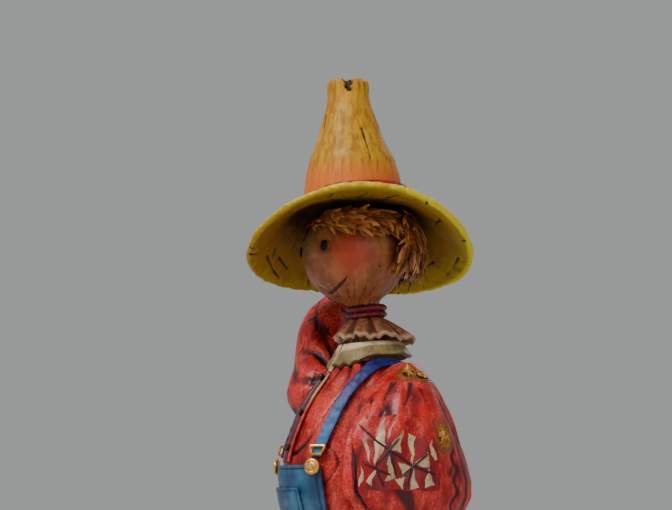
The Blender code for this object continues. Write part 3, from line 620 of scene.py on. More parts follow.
placket_paint = open_finish("placket_paint")
edge = Tone.maths("ABSOLUTE", placed_along(0)).between(1.5, 2.3)
red, clouds, streaks = shirt_colours(5.0)
low_edge = placed_along(2).between(168.0, 178.0)
cream = over(red, colour(206, 176, 120), edge * low_edge * 0.9)
close_finish(placket_paint, cream, 0.32 + clouds * 0.2, shirt_relief(streaks), 0.1)
placket = cast_over("placket", ["shirt_placket"], 0.32 * MM, 3)
carve(placket, placket_tool)
paint(smooth_shaded(placket), placket_paint, "figure")

button_paint = open_finish("shirt_button_paint")
close_finish(button_paint, over(colour(24, 12, 8), colour(66, 36, 20), mottle(0.9)),
             0.25 + mottle(1.0) * 0.15, mottle(0.5), 0.03)
for level in ("upper", "middle", "lower"):
    low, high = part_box("shirt_button_" + level)
    middle = (low + high) / 2
    bpy.ops.mesh.primitive_cylinder_add(vertices=32, radius=1.45 * MM, depth=0.9 * MM,
                                        location=middle)
    button = bpy.context.object
    button.name = "shirt_button_" + level + "_disc"
    face_way = chest_surface.ray_cast(Vector((0, -0.1, middle.z)), Vector((0, 1, 0)))[1]
    button.rotation_euler = face_way.to_track_quat("Z", "Y").to_euler()
    only(button)
    bpy.ops.object.transform_apply(location=True, rotation=True, scale=True)
    bpy.ops.object.mode_set(mode="EDIT")
    bpy.ops.mesh.select_mode(type="FACE")
    bpy.ops.mesh.select_all(action="DESELECT")
    edit = bmesh.from_edit_mesh(button.data)
    front = max(edit.faces, key=lambda face: face.normal.dot(face_way))
    front.select_set(True)
    bmesh.update_edit_mesh(button.data)
    bpy.ops.mesh.inset(thickness=0.35 * MM)
    bpy.ops.mesh.extrude_region_move(TRANSFORM_OT_translate={"value": -0.25 * MM * face_way})
    bpy.ops.object.mode_set(mode="OBJECT")
    work_modifier(button, "BEVEL", width=0.12 * MM, segments=2)
    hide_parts("shirt_button_" + level)
    paint(smooth_shaded(button), button_paint, "figure")


# --- Bib, straps and their metal ----------------------------------------------------------------
# The bib is a thick flap of painted denim with a sewn edge and a pocket. Two straps come over
# the shoulders, navy on top and faded lower down, and end in gold wire loops on gold buttons.

def sewn_tool(low, high, inset):
    """A flat cloth piece with a seam pressed in along its edges."""
    def tool(place, normal):
        across = (place.x - low.x) / (high.x - low.x) * 2 - 1
        edge = min((1 - abs(across)) * (high.x - low.x) / 2, place.z - low.z, high.z - place.z)
        seam = fold_line(edge - inset, 0.5 * MM)
        depth = 0.25 * rough_at(place, 8 * MM, seed=1) + 0.1 * rough_at(place, 2 * MM)
        return (depth - 0.1 - 0.4 * seam) * MM, 0.3 + 0.6 * seam - 0.8 * depth
    return tool


for name, node in (("bib", "overalls_bib"), ("pocket", "bib_pocket")):
    low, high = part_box(node)
    flap = cast_over(name, [node], 0.45 * MM, 3)
    carve(flap, sewn_tool(low, high, 1.7 * MM))
    paint(smooth_shaded(flap), denim_paint, "figure")

strap_paint = open_finish("strap_paint")
height = placed_along(2)
back_half = placed_along(1).between(0.0, 6.0)
brushed = mottle(2.2, (1, 1, 0.5))
worn = (1 - height.between(160.0, 186.0)) * (1 - back_half * 0.7)
navy = over(colour(14, 18, 84), colour(26, 40, 128), brushed.between(0.35, 0.7))
navy = over(navy, colour(34, 88, 142), (worn + brushed * 0.2 - 0.1).between(0.35, 0.85))
navy = over(navy, colour(60, 122, 172), (worn + brushed * 0.3 - 0.15).between(0.7, 1.1) * 0.5)
# Painted shade darkens the straps along their side edges.
navy = over(navy, colour(10, 12, 34), stored("painted_shade").between(0.3, 0.9))
close_finish(strap_paint, navy, 0.38 + brushed * 0.2, brushed + mottle(0.5), 0.07, coat=0.15)


def strap_tool(surface):
    """Rounded side edges darkened with painted shade, and a slightly uneven face."""
    def tool(place, normal):
        body_way = surface.find_nearest(place)[1]
        edge = 1 - step_between(abs(normal.dot(body_way)), 0.35, 0.9)
        return (0.14 * rough_at(place, 2.5 * MM) - 0.05) * MM, 0.15 + 0.8 * edge
    return tool


for side in ("left", "right"):
    strap = cast_over("strap_" + side + "_cloth", ["strap_" + side], 0.4 * MM, 4)
    carve(strap, strap_tool(chest_surface))
    paint(smooth_shaded(strap), strap_paint, "figure")

gold_paint = open_finish("gold_paint")
leaf = mottle(1.4)
gold = over(colour(224, 150, 40), colour(250, 214, 120), leaf.between(0.4, 0.65))
close_finish(gold_paint, gold, 0.24 + leaf * 0.2, mottle(0.7), 0.05, metallic=0.75, coat=0.3)
for side in ("left", "right"):
    repaint("buckle_loop_" + side, gold_paint)
    button = cast_over("gold_button_" + side, ["bib_button_" + side], 0.3 * MM, 4)
    low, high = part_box("bib_button_" + side)
    middle = (low + high) / 2
    face_way = chest_surface.find_nearest(middle)[1]

    def dome(place, normal, middle=middle, face_way=face_way):
        out = place - middle
        out -= face_way * out.dot(face_way)
        groove = fold_line(out.length - 1.9 * MM, 0.45 * MM) * step_between(
            normal.dot(face_way), 0.3, 0.8)
        return (-0.3 * groove - 0.02) * MM, groove

    carve(button, dome)
    paint(smooth_shaded(button), gold_paint, "figure")


# --- Sleeves --------------------------------------------------------------------------------------
# Two baggy sleeves, cast on their own and pinned to the shoulders. Long folds run from the
# armhole to the wrist. The hanging left sleeve is torn in four places, where straw shows, and
# has a harlequin patch; the right one is raised and gathered hard at the shoulder.

sleeve_low, sleeve_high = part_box("sleeve_left")
sleeve_axis = Vector(((sleeve_low.x + sleeve_high.x) / 2 + 1 * MM, -3 * MM, 0))
SLEEVE_HALF_WIDTH, SLEEVE_HALF_DEPTH = 15, 26


def round_sleeve(place):
    """Direction of a point round the hanging sleeve, in degrees from the front outwards."""
    return math.degrees(math.atan2((place.x - sleeve_axis.x) / SLEEVE_HALF_WIDTH,
                                   -(place.y - sleeve_axis.y) / SLEEVE_HALF_DEPTH))


def look_at_sleeve(surface, turn, z):
    """Where the sleeve's surface is, seen from outside along its own direction."""
    way = Vector((SLEEVE_HALF_WIDTH * math.sin(math.radians(turn)),
                  -SLEEVE_HALF_DEPTH * math.cos(math.radians(turn)), 0))
    middle = Vector((sleeve_axis.x, sleeve_axis.y, z))
    return surface.ray_cast(middle + way.normalized() * 60 * MM, -way.normalized())[:2]


rough_sleeve = BVHTree.FromObject(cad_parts["sleeve_left"],
                                  bpy.context.evaluated_depsgraph_get())
TEARS = [(look_at_sleeve(rough_sleeve, turn, z)[0], reach * MM)
         for turn, z, reach in ((78, 0.1838, 3.3), (22, 0.1852, 2.2), (124, 0.1830, 3.0),
                                (111, 0.1583, 4.4))]
SEAM_TURN = 122
FINE_CREASES = [[look_at_sleeve(rough_sleeve, turn, z)[0] for turn, z in line] for line in (
    ((-29, 0.1726), (10, 0.1642)), ((9, 0.1730), (24, 0.1657)), ((43, 0.1680), (41, 0.1596)),
    ((60, 0.1660), (54, 0.1606)), ((54, 0.1606), (53, 0.1540)), ((82, 0.1790), (70, 0.1700)),
    ((96, 0.1770), (104, 0.1680)), ((132, 0.1720), (140, 0.1600)), ((160, 0.1700), (150, 0.1560)),
    ((-50, 0.1700), (-40, 0.1560)), ((-80, 0.1720), (-90, 0.1580)), ((30, 0.1800), (36, 0.1730)))]


def cut_depth(place, cuts, wide):
    """How near a point is to any of the cuts, each a pair of spots: 1 on it, 0 beyond."""
    best = 0.0
    for start, end in cuts:
        way = end - start
        along = max(0.0, min(1.0, (place - start).dot(way) / way.length_squared))
        away = (place - start - way * along).length
        best = max(best, 1 - away / (wide * (1.15 - 0.6 * along)))
    return max(0.0, best)


def left_sleeve_tool(place, normal):
    turn = round_sleeve(place)
    down = (sleeve_high.z - place.z) / (sleeve_high.z - sleeve_low.z)
    drift = 26 * rough_at(place, 26 * MM, seed=8) + 10 * down
    long_folds = math.sin(math.radians(turn + drift) * 7)
    long_folds *= step_between(down, 0.02, 0.3)
    sway = rough_at(place, 15 * MM, (1, 1, 0.4), 3.0)
    fine = rough_at(place, 5 * MM, (1.4, 1.4, 0.45), 6.0)
    depth = 0.62 * long_folds + 0.7 * sway + 0.25 * fine - 0.8
    painted_shade = 0.3 - 0.4 * long_folds - 0.45 * sway - 0.2 * fine
    above = (place.z - 0.1462) / MM
    main_crease = fold_line(turn - 17 + 0.6 * above + 0.035 * above * above, 6.5)
    main_crease *= step_between(0.168 - place.z, 0, 10 * MM)
    other = fold_line(turn + 30 - 8 * rough_at(place, 30 * MM), 6) * step_between(down, 0.2, 0.4)
    gather = fold_line(rough_at(place, 11 * MM, (1, 1, 0.3), 30.0), 0.07) * step_between(down, 0.3, 0.6)
    seam = fold_line(turn - SEAM_TURN - 3 * math.sin(place.z * 700), 4.5)
    seam *= step_between(0.157 - place.z, 0, 6 * MM)
    fine_crease = cut_depth(place, FINE_CREASES, 1.1 * MM)
    depth -= 1.6 * main_crease + 0.8 * other + 0.4 * gather + 0.6 * seam + 0.45 * fine_crease
    painted_shade += 0.95 * main_crease + 0.6 * other + 0.4 * gather + 0.9 * seam + 0.6 * fine_crease
    for spot, reach in TEARS:
        ragged = (place - spot).length / reach + 0.3 * rough_at(place, 2 * MM, seed=15)
        hole = 1 - step_between(ragged, 0.5, 0.85)
        lip = fold_line(ragged - 1.05, 0.3)
        depth += 0.6 * lip - 1.5 * hole
        painted_shade += 0.55 * hole - 0.3 * lip
    return depth * MM, painted_shade


right_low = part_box("sleeve_right")[0]


def right_sleeve_tool(place, normal):
    out = (-place.x - 0.02) / (-right_low.x - 0.02)
    round_arm = math.atan2(place.y, place.z - 0.186 - max(0.0, out) * 0.012)
    gathers = math.sin(round_arm * 8 + 1.6 * rough_at(place, 10 * MM, seed=2))
    gathers *= step_between(0.75 - out, 0, 0.5)
    wrist = math.sin(math.atan2(place.y - 0.018, place.x + 0.052) * 9)
    wrist *= step_between(place.z - 0.222, 0, 12 * MM)
    sway = rough_at(place, 10 * MM, seed=13)
    depth = 0.75 * gathers + 0.35 * wrist + 0.6 * sway - 0.7
    painted_shade = 0.3 - 0.5 * gathers - 0.35 * wrist - 0.4 * sway
    crease = fold_line(rough_at(place, 12 * MM, seed=40), 0.07)
    return (depth - 0.4 * crease) * MM, painted_shade + 0.5 * crease


def near(spot, reach):
    """1 at a spot (in metres), 0 beyond reach millimetres from it, with a ragged edge."""
    ragged = distance_from(spot) + (mottle(1.6) - 0.5) * 3.2
    return 1 - ragged.between(reach * 0.55, reach)


left_paint = open_finish("left_sleeve_paint")
red, clouds, streaks = shirt_colours(11.0)
for spot, reach in TEARS:
    red = over(red, colour(104, 74, 22), near(spot, reach * 1000 * 2.0) * 0.75)
    red = over(red, colour(206, 128, 20), near(spot, reach * 1000 * 1.15))
    # Painted shade: the middle of each tear is darkened, as the inside of the hole.
    red = over(red, colour(44, 26, 8), near(spot, reach * 1000 * 0.62) * 0.8)
bruise = look_at_sleeve(rough_sleeve, 80, 0.1592)[0]
red = over(red, colour(120, 104, 128), near(bruise, 5.0) * 0.75)
for turn, z in ((23, 0.1748), (52, 0.1728), (92, 0.1680)):
    blot = look_at_sleeve(rough_sleeve, turn, z)[0]
    red = over(red, colour(206, 14, 12), near(blot, 4.6) * 0.75)
# Painted shade darkens the sleeve's folds, creases, seam and torn holes.
red = over(red, colour(84, 10, 22), stored("painted_shade").between(0.55, 0.9))
close_finish(left_paint, red, 0.28 + clouds * 0.25, shirt_relief(streaks), 0.13, coat=0.22)

right_paint = open_finish("right_sleeve_paint")
red, clouds, streaks = shirt_colours(23.0)
close_finish(right_paint, red, 0.3 + clouds * 0.25, shirt_relief(streaks), 0.13, coat=0.22)

for side, tool, finish in (("left", left_sleeve_tool, left_paint),
                           ("right", right_sleeve_tool, right_paint)):
    sleeve = cast_over("sleeve_" + side + "_cloth", ["sleeve_" + side], 0.6 * MM, 3)
    carve(sleeve, tool)
    paint(smooth_shaded(sleeve), finish, "figure")
    if side == "left":
        left_sleeve = sleeve
left_surface = BVHTree.FromObject(left_sleeve, bpy.context.evaluated_depsgraph_get())

# Straw in the tears: short stalks that lie across each hole, pushed in under its lip.
tear_straw = bmesh.new()
for spot, reach in TEARS:
    out = left_surface.find_nearest(spot)[1]
    side_way = out.cross(Vector((0, 0, 1))).normalized()
    rise = side_way.cross(out)
    for _ in range(16):
        turn = draw.uniform(0, 2 * math.pi)
        way = side_way * math.cos(turn) + rise * math.sin(turn)
        root = spot - way * reach * draw.uniform(0.0, 0.4) - out * 0.9 * MM
        tip = spot + way * reach * draw.uniform(0.5, 0.95) + out * draw.uniform(-0.7, 0.0) * MM
        add_straw(tear_straw, root, tip, 0.9 * MM, 0.5 * MM)
tear_straw = finished_bundle("tear_straw", tear_straw)
paint(tear_straw, straw_paint, "figure")

# The harlequin patch: a square of red and cream points, sewn on with long dark stitches.
PATCH_TURNS = (25, 100)
PATCH_BOTTOM, PATCH_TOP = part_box("sleeve_patch_left")[0].z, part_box("sleeve_patch_left")[1].z
PATCH_COLUMNS, PATCH_ROWS = 110, 84


def on_patch(u, v, lift):
    """A point over the sleeve, by shares of the patch's width and height."""
    turn = PATCH_TURNS[0] + (PATCH_TURNS[1] - PATCH_TURNS[0]) * u
    spot, out = look_at_sleeve(left_surface, turn, PATCH_BOTTOM + (PATCH_TOP - PATCH_BOTTOM) * v)
    return spot + out * lift


def laid_sheet(name, columns, rows, place):
    """A grid laid over a surface that place(u, v) gives, with each point's own u and v kept."""
    bpy.ops.object.select_all(action="DESELECT")
    bpy.ops.mesh.primitive_grid_add(x_subdivisions=columns, y_subdivisions=rows, size=2)
    piece = bpy.context.object
    piece.name = piece.data.name = name
    shares = [(vertex.co.x / 2 + 0.5, vertex.co.y / 2 + 0.5) for vertex in piece.data.vertices]
    for vertex, (u, v) in zip(piece.data.vertices, shares):
        vertex.co = place(u, v)
    keep(piece, "across", [u for u, v in shares])
    keep(piece, "along", [v for u, v in shares])
    piece.data.update()
    return piece


patch = laid_sheet("harlequin_patch", PATCH_COLUMNS, PATCH_ROWS, lambda u, v: on_patch(
    0.5 + (u - 0.5) * (1 + 0.02 * math.sin(v * 19)), 0.5 + (v - 0.5) * (1 + 0.02 * math.sin(u * 23)),
    0.02 * MM))
work_modifier(patch, "SMOOTH", factor=0.5, iterations=3)
work_modifier(patch, "SOLIDIFY", thickness=0.65 * MM, offset=1.0)
work_modifier(patch, "BEVEL", width=0.2 * MM, segments=2, angle_limit=math.radians(50))
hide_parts("sleeve_patch_left")

# Its cream spikes, each a run of corners given by the direction round the sleeve and height
SPIKES = [[(45, 165.5), (52, 154.5), (44, 147.2), (40.5, 156)],
          [(25, 157), (31, 157), (40, 147.4)], [(55.5, 153.2), (67, 160.5), (65, 152)],
          [(71, 158.8), (79, 158.2), (77, 147.2)], [(77.5, 147), (89, 152), (91.5, 146.5)],
          [(76, 146.4), (63.5, 148.6), (67, 142.5)], [(55.8, 152.6), (52.2, 141.5), (60.4, 142)],
          [(44, 146.8), (36, 141), (41, 139)], [(60, 141.6), (66, 138.4), (70, 143)],
          [(77, 146.4), (73.6, 138.4), (81, 138.4)], [(28, 147), (26, 139), (33, 142)],
          [(90, 146), (86, 139), (95, 140)], [(95, 157), (98, 149), (91.5, 151)]]


def on_spike(turn, z):
    """1 inside one of the cream spikes, 0 on the crimson ground."""
    turn += 0.8 * math.sin(z * 0.9)
    z += 0.2 * math.sin(turn * 0.6)
    for corners in SPIKES:
        sides = []
        for (x0, y0), (x1, y1) in zip(corners, corners[1:] + corners[:1]):
            sides.append((x1 - x0) * (z - y0) - (y1 - y0) * (turn - x0))
        if min(sides) > 0 or max(sides) < 0:
            return 1.0
    return 0.0


keep(patch, "spike", [on_spike(
    PATCH_TURNS[0] + (PATCH_TURNS[1] - PATCH_TURNS[0]) * u.value,
    (PATCH_BOTTOM + (PATCH_TOP - PATCH_BOTTOM) * v.value) / MM)
    for u, v in zip(patch.data.attributes["across"].data, patch.data.attributes["along"].data)])

patch_paint = open_finish("harlequin_paint")
red, clouds, streaks = shirt_colours(31.0)
crimson = over(colour(168, 8, 14), colour(118, 6, 26), clouds.between(0.35, 0.6))
crimson = over(crimson, red, stored("along").between(0.62, 0.85))
cream = over(colour(206, 184, 138), colour(162, 120, 84), streaks.between(0.45, 0.7))
cream = over(cream, colour(128, 122, 96), mottle(3.0).between(0.52, 0.66) * 0.6)
diamonds = over(crimson, cream, stored("spike"))
diamonds = over(diamonds, colour(64, 10, 22), mottle(4.0).between(0.6, 0.75) * 0.6)
close_finish(patch_paint, diamonds, 0.3 + clouds * 0.2, shirt_relief(streaks), 0.1, coat=0.22)
paint(smooth_shaded(patch), patch_paint, "figure")

PATCH_STITCHES = [((16, 162.6), (55, 153.1)), ((55, 153.1), (77.5, 146.8)),
                  ((77.5, 146.8), (97, 143.5)), ((64, 157.2), (44, 147.0)),
                  ((30, 148.5), (56, 143.6)), ((90, 151.4), (66, 142.8)),
                  ((56.4, 152.0), (61, 142.5)), ((77.2, 147.6), (72, 139.6)),
                  ((44, 147.2), (50, 139.4))]


def add_cord(tube, spots, outs, thick):
    """A round thread along a run of spots, thinner at its two ends."""
    rings = []
    last = len(spots) - 1
    for k, (spot, out) in enumerate(zip(spots, outs)):
        ahead = (spots[min(k + 1, last)] - spots[max(k - 1, 0)]).normalized()
        across = out.cross(ahead).normalized()
        up = ahead.cross(across)
        reach = thick * (1 - 0.65 * abs(2 * k / last - 1) ** 8)
        rings.append([tube.verts.new(spot + (up * math.sin(a) + across * math.cos(a)) * reach)
                      for a in (math.tau * j / 8 for j in range(8))])
    for low, high in zip(rings, rings[1:]):
        for j in range(8):
            tube.faces.new((low[j], low[(j + 1) % 8], high[(j + 1) % 8], high[j]))
    tube.faces.new(rings[0])
    tube.faces.new(list(reversed(rings[-1])))


MM_PER_DEGREE = 0.42
long_stitches = bmesh.new()
for start, end in PATCH_STITCHES:
    length = math.hypot((end[0] - start[0]) * MM_PER_DEGREE, end[1] - start[1])
    steps = max(6, round(length / 0.8))
    spots, outs = [], []
    for k in range(steps + 1):
        turn = start[0] + (end[0] - start[0]) * k / steps
        z = (start[1] + (end[1] - start[1]) * k / steps) * MM
        spot, out = look_at_sleeve(left_surface, turn, z)
        on_it = PATCH_TURNS[0] < turn < PATCH_TURNS[1] and PATCH_BOTTOM < z < PATCH_TOP
        spots.append(spot + out * (0.85 * MM if on_it else 0.15 * MM))
        outs.append(out)
    for _ in range(3):
        spots = [spots[0]] + [(low + 2 * spot + high) / 4 for low, spot, high in zip(
            spots, spots[1:], spots[2:])] + [spots[-1]]
    add_cord(long_stitches, spots, outs, 0.42 * MM)
long_stitches = smooth_shaded(finished_bundle("patch_stitches", long_stitches))
paint(long_stitches, thread_paint, "figure")


# --- Wrists and gloves ---------------------------------------------------------------------------
# Each sleeve is drawn in to a narrow cuff. Straw sticks out of it round a stuffed work glove
# with four fingers and a thumb, cast in one piece.

glove_paint = open_finish("glove_paint")
tan = over(colour(140, 90, 46), colour(184, 132, 76), mottle(3.5).between(0.35, 0.65))
# Painted shade darkens the gloves between the fingers and over the knuckles.
tan = over(tan, colour(60, 30, 14), stored("painted_shade").between(0.35, 0.95))
close_finish(glove_paint, tan, 0.42 + mottle(2.0) * 0.2, mottle(0.6), 0.08)


def glove_tool(root, along, across):
    """Grooves between the fingers and creases over the knuckles."""
    def tool(place, normal):
        reach = (place - root).dot(along)
        side = (place - root).dot(across)
        finger = fold_line(math.fmod(abs(side + 12.0 * MM), 3.0 * MM) - 1.5 * MM, 0.55 * MM)
        finger *= step_between(reach, 8.5 * MM, 10.5 * MM)
        knuckle = fold_line(reach - 8.5 * MM, 0.5 * MM) + fold_line(reach - 1.5 * MM, 0.6 * MM)
        rough = rough_at(place, 2.5 * MM)
        depth = -0.8 * finger - 0.35 * knuckle + 0.12 * rough
        return depth * MM, 0.2 + 0.75 * finger + 0.5 * knuckle
    return tool


def cuff_tool(middle, along):
    def tool(place, normal):
        out = place - middle
        across = along.orthogonal().normalized()
        turn = math.atan2(out.dot(across), out.dot(along.cross(across)))
        pleat = math.sin(turn * 14)
        return (0.22 * pleat - 0.25) * MM, 0.35 - 0.4 * pleat
    return tool


for side in ("left", "right"):
    cuff_low, cuff_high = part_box("cuff_" + side)
    glove_low, glove_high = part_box("glove_" + side)
    straw_low, straw_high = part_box("wrist_straw_" + side)
    cuff_middle = (cuff_low + cuff_high) / 2
    straw_middle = (straw_low + straw_high) / 2
    along = (straw_middle - cuff_middle).normalized()
    cuff = cast_over("cuff_" + side + "_band", ["cuff_" + side], 0.4 * MM, 3)
    carve(cuff, cuff_tool(cuff_middle, along))
    paint(smooth_shaded(cuff), right_paint if side == "right" else shirt_paint, "figure")
    glove = cast_over("glove_" + side + "_stuffed", ["glove_" + side], 0.4 * MM, 3)
    thumb_way = (glove_low + glove_high) / 2 - straw_middle
    thumb_way -= along * thumb_way.dot(along)
    carve(glove, glove_tool(straw_middle, along, thumb_way.normalized()))
    paint(smooth_shaded(glove), glove_paint, "figure")
    across = along.orthogonal().normalized()
    sheaf = bmesh.new()
    for _ in range(64):
        turn = draw.uniform(0, 2 * math.pi)
        out = across * math.cos(turn) + along.cross(across) * math.sin(turn)
        root = cuff_middle + out * draw.uniform(2.5, 4.6) * MM
        tip = root + along * draw.uniform(4.5, 8.5) * MM + out * draw.uniform(0.5, 2.2) * MM
        add_straw(sheaf, root, tip, 1.2 * MM, 0.6 * MM)
    sheaf = finished_bundle("wrist_sheaf_" + side, sheaf)
    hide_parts("wrist_straw_" + side)
    paint(sheaf, straw_paint, "figure")


# --- Collar -----------------------------------------------------------------------------------------
# A wide linen collar folded over the shirt's neck, in two halves that meet at the front with
# their points hanging down. It was cast with the shirt and is only painted apart from it.

collar_paint = open_finish("collar_paint")
linen = over(colour(150, 130, 84), colour(112, 96, 50), mottle(4.0).between(0.35, 0.7))
# Painted shade darkens the collar towards its lower edge, where it lies on the shirt.
linen = over(linen, colour(74, 54, 30), stored("painted_shade").between(0.35, 0.9))
linen = over(linen, colour(222, 196, 150), stored("fold").between(0.72, 0.88))
close_finish(collar_paint, linen, 0.45 + mottle(2.0) * 0.2, mottle(0.7), 0.06)

COLLAR_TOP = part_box("collar_left")[1].z


def on_chest(x, y, from_z):
    """The highest point of the cast shirt under a spot, looking straight down."""
    spot = chest_surface.ray_cast(Vector((x, y, from_z)), Vector((0, 0, -1)))[0]
    return spot.z if spot else from_z - 12 * MM


for side, way in (("left", 1), ("right", -1)):
    def place(u, v):
        turn = way * math.radians(4 + 178 * u)
        frontness = max(0.0, math.cos(turn))
        spread = (1 - v) ** 0.8
        width = 11.8 * MM + 3.6 * MM * spread
        deep = 12.8 * MM - 1.6 * MM * frontness + (4.4 * MM + 1.6 * MM * frontness) * spread
        x = width * math.sin(turn)
        y = 1.5 * MM - deep * math.cos(turn)
        wave = 0.4 * MM * math.sin(7 * turn) * spread
        z = COLLAR_TOP + 0.9 * MM - 1.0 * MM * frontness
        z -= (5.5 * MM + 5.5 * MM * frontness ** 2) * spread
        return Vector((x, y, max(z, on_chest(x, y, COLLAR_TOP) + 0.7 * MM) + wave))

    collar = laid_sheet("collar_" + side + "_linen", 90, 16, place)
    across = [point.value for point in collar.data.attributes["across"].data]
    along = [point.value for point in collar.data.attributes["along"].data]
    keep(collar, "fold", [max(v, 0.9 - 18 * u) for u, v in zip(across, along)])
    # Painted shade: the lower quarter of each collar half gets it.
    keep(collar, "painted_shade", [0.7 * step_between(0.25 - v, 0, 0.25) for v in along])
    work_modifier(collar, "SOLIDIFY", thickness=1.5 * MM, offset=way)
    work_modifier(collar, "BEVEL", width=0.5 * MM, segments=3, angle_limit=math.radians(50))
    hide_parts("collar_" + side)
    paint(smooth_shaded(collar), collar_paint, "figure")


# --- Neck ------------------------------------------------------------------------------------------
# A bare wooden dowel, glued into the shirt, holds the head. Round it hangs the sack's hem,
# gathered by a crimson ribbon wound twice about the neck; hem and ribbon turn with the head.

wood = open_finish("dowel_wood")
grain = mottle(0.9, stretch=(1, 1, 0.12))
birch = over(colour(196, 160, 112), colour(150, 110, 66), grain.between(0.45, 0.7))
close_finish(wood, birch, 0.6, grain, 0.05, coat=0.0)
repaint("neck_dowel", wood)

ruffle_low, ruffle_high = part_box("neck_ruffle")
RUFFLE_PLEATS = 9


def on_ruffle(u, v):
    """Round the hem by u, from the rim (v = 0) up to the gathers (v = 1)."""
    turn = 2 * math.pi * u
    spread = (1 - v) ** 1.25
    back = math.cos(turn - math.radians(153))
    reach = 14.6 * MM + 2.6 * MM * max(0.0, back)
    radius = 4.6 * MM + (reach - 4.6 * MM) * spread
    swing = RUFFLE_PLEATS * turn + 0.9 * math.sin(2 * turn + 1)
    pleat = math.sin(swing) + 0.35 * math.sin(2 * swing + 0.8)
    radius += (0.9 * spread + 0.25) * pleat * MM
    rim = 1.4 * MM + 0.7 * MM * math.sin(swing + 1.3) + 0.5 * MM * math.sin(23 * turn)
    rim -= 1.0 * MM * max(0.0, math.cos(turn - math.radians(170)))
    z = ruffle_low.z + 0.3 * MM + (rim + 1.9 * MM) * (1 - v) ** 2
    z += (ruffle_high.z - ruffle_low.z - 0.3 * MM) * (1 - (1 - v) ** 1.7)
    return Vector((radius * math.sin(turn) + 0.7 * MM * spread,
                   -radius * math.cos(turn) + 2.4 * MM * spread, z))


def closed_sheet(name, columns, rows, place):
    """A laid sheet whose two ends are joined into a ring."""
    piece = laid_sheet(name, columns, rows, place)
    only(piece)
    bpy.ops.object.mode_set(mode="EDIT")
    bpy.ops.mesh.select_all(action="SELECT")
    bpy.ops.mesh.remove_doubles(threshold=1e-6)
    bpy.ops.object.mode_set(mode="OBJECT")
    return piece


ruffle = closed_sheet("neck_hem", 220, 18, on_ruffle)
hem_turns = [math.atan2(vertex.co.x, -vertex.co.y) for vertex in ruffle.data.vertices]
# Painted shade: the hollows between the pleats get it.
keep(ruffle, "painted_shade", [0.5 - 0.5 * math.sin(RUFFLE_PLEATS * turn + 0.9 * math.sin(2 * turn + 1))
                      for turn in hem_turns])
work_modifier(ruffle, "SOLIDIFY", thickness=1.1 * MM, offset=1.0)
work_modifier(ruffle, "BEVEL", width=0.35 * MM, segments=2, angle_limit=math.radians(50))
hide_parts("neck_ruffle")

sack_paint = open_finish("sack_paint")
burlap = over(colour(150, 96, 60), colour(112, 60, 30), mottle(2.2).between(0.35, 0.65))
# Painted shade darkens the hem between its pleats.
burlap = over(burlap, colour(66, 26, 10), stored("painted_shade").between(0.55, 1.0) * 0.85)
burlap = over(burlap, colour(186, 146, 112), (1 - stored("along")).between(0.86, 0.97) * 0.8)
close_finish(sack_paint, burlap, 0.5 + mottle(2.0) * 0.2, mottle(0.5), 0.1)
paint(smooth_shaded(ruffle, 60), sack_paint, "head")

ribbon_low, ribbon_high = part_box("neck_ribbon")


def on_ribbon(u, v):
    """Two turns of ribbon, one over the other, creased along their length."""
    turn = 2 * math.pi * u
    height = v + 0.06 * math.sin(turn * 2 + 0.6)
    wraps = abs(math.sin(height * 1.9 * math.pi + 0.6 * math.sin(turn)))
    radius = 7.6 * MM + 1.1 * MM * wraps - 0.5 * MM * (2 * v - 1) ** 4
    radius += 0.12 * MM * math.sin(29 * turn + 5 * v)
    z = ribbon_low.z - 0.3 * MM + (ribbon_high.z - ribbon_low.z + 0.9 * MM) * v
    z += 0.6 * MM * math.sin(turn - math.radians(63))
    return Vector((radius * math.sin(turn), -radius * math.cos(turn), z))


ribbon = closed_sheet("neck_ribbon_wound", 160, 20, on_ribbon)
# Painted shade: the ribbon darkens where it tucks in against the neck and under its other turn.
keep(ribbon, "painted_shade", [1 - step_between(math.hypot(vertex.co.x, vertex.co.y), 7.6 * MM, 8.5 * MM)
                      for vertex in ribbon.data.vertices])
work_modifier(ribbon, "SOLIDIFY", thickness=0.7 * MM, offset=-1.0)
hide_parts("neck_ribbon")
ribbon_paint = open_finish("ribbon_paint")
crimson = over(colour(142, 16, 44), colour(104, 6, 24), mottle(2.5).between(0.3, 0.6))
# Painted shade darkens the ribbon's tucked-in parts.
crimson = over(crimson, colour(36, 4, 10), stored("painted_shade").between(0.35, 0.9))
close_finish(ribbon_paint, crimson, 0.3 + mottle(1.5) * 0.2, mottle(0.6, stretch=(1, 1, 3)), 0.1)
paint(smooth_shaded(ribbon, 60), ribbon_paint, "head")


# --- Head --------------------------------------------------------------------------------------------
# A sack stuffed to a ball and gathered down to the neck, painted flesh colour with red cheeks.
# Two black beads are its eyes and a dark cord, laid in a groove, is its smile.

head_low, head_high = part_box("head_sack")
HEAD_RADIUS = (head_high.x - head_low.x) / 2
head_middle = Vector((0, (head_low.y + head_high.y) / 2, head_high.z - HEAD_RADIUS))


def on_head(azimuth, elevation, lift=0.0):
    """A point over the ball of the head, from the front towards the left, in degrees."""
    reach = HEAD_RADIUS + lift
    level = reach * math.cos(math.radians(elevation))
    turn = math.radians(azimuth)
    return head_middle + Vector((level * math.sin(turn), -level * math.cos(turn),
                                 reach * math.sin(math.radians(elevation))))


SMILE_START, SMILE_END = -0.15, 1.0
SMILE_SPREAD = 52
SMILE_STEPS = 64


def smile_height(share):
    """The smile's elevation in degrees, by share of its spread from the middle of the face."""
    return -55 + 21 * share * share


eyes = [sum(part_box("eye_" + side), Vector()) / 2 for side in ("left", "right")]


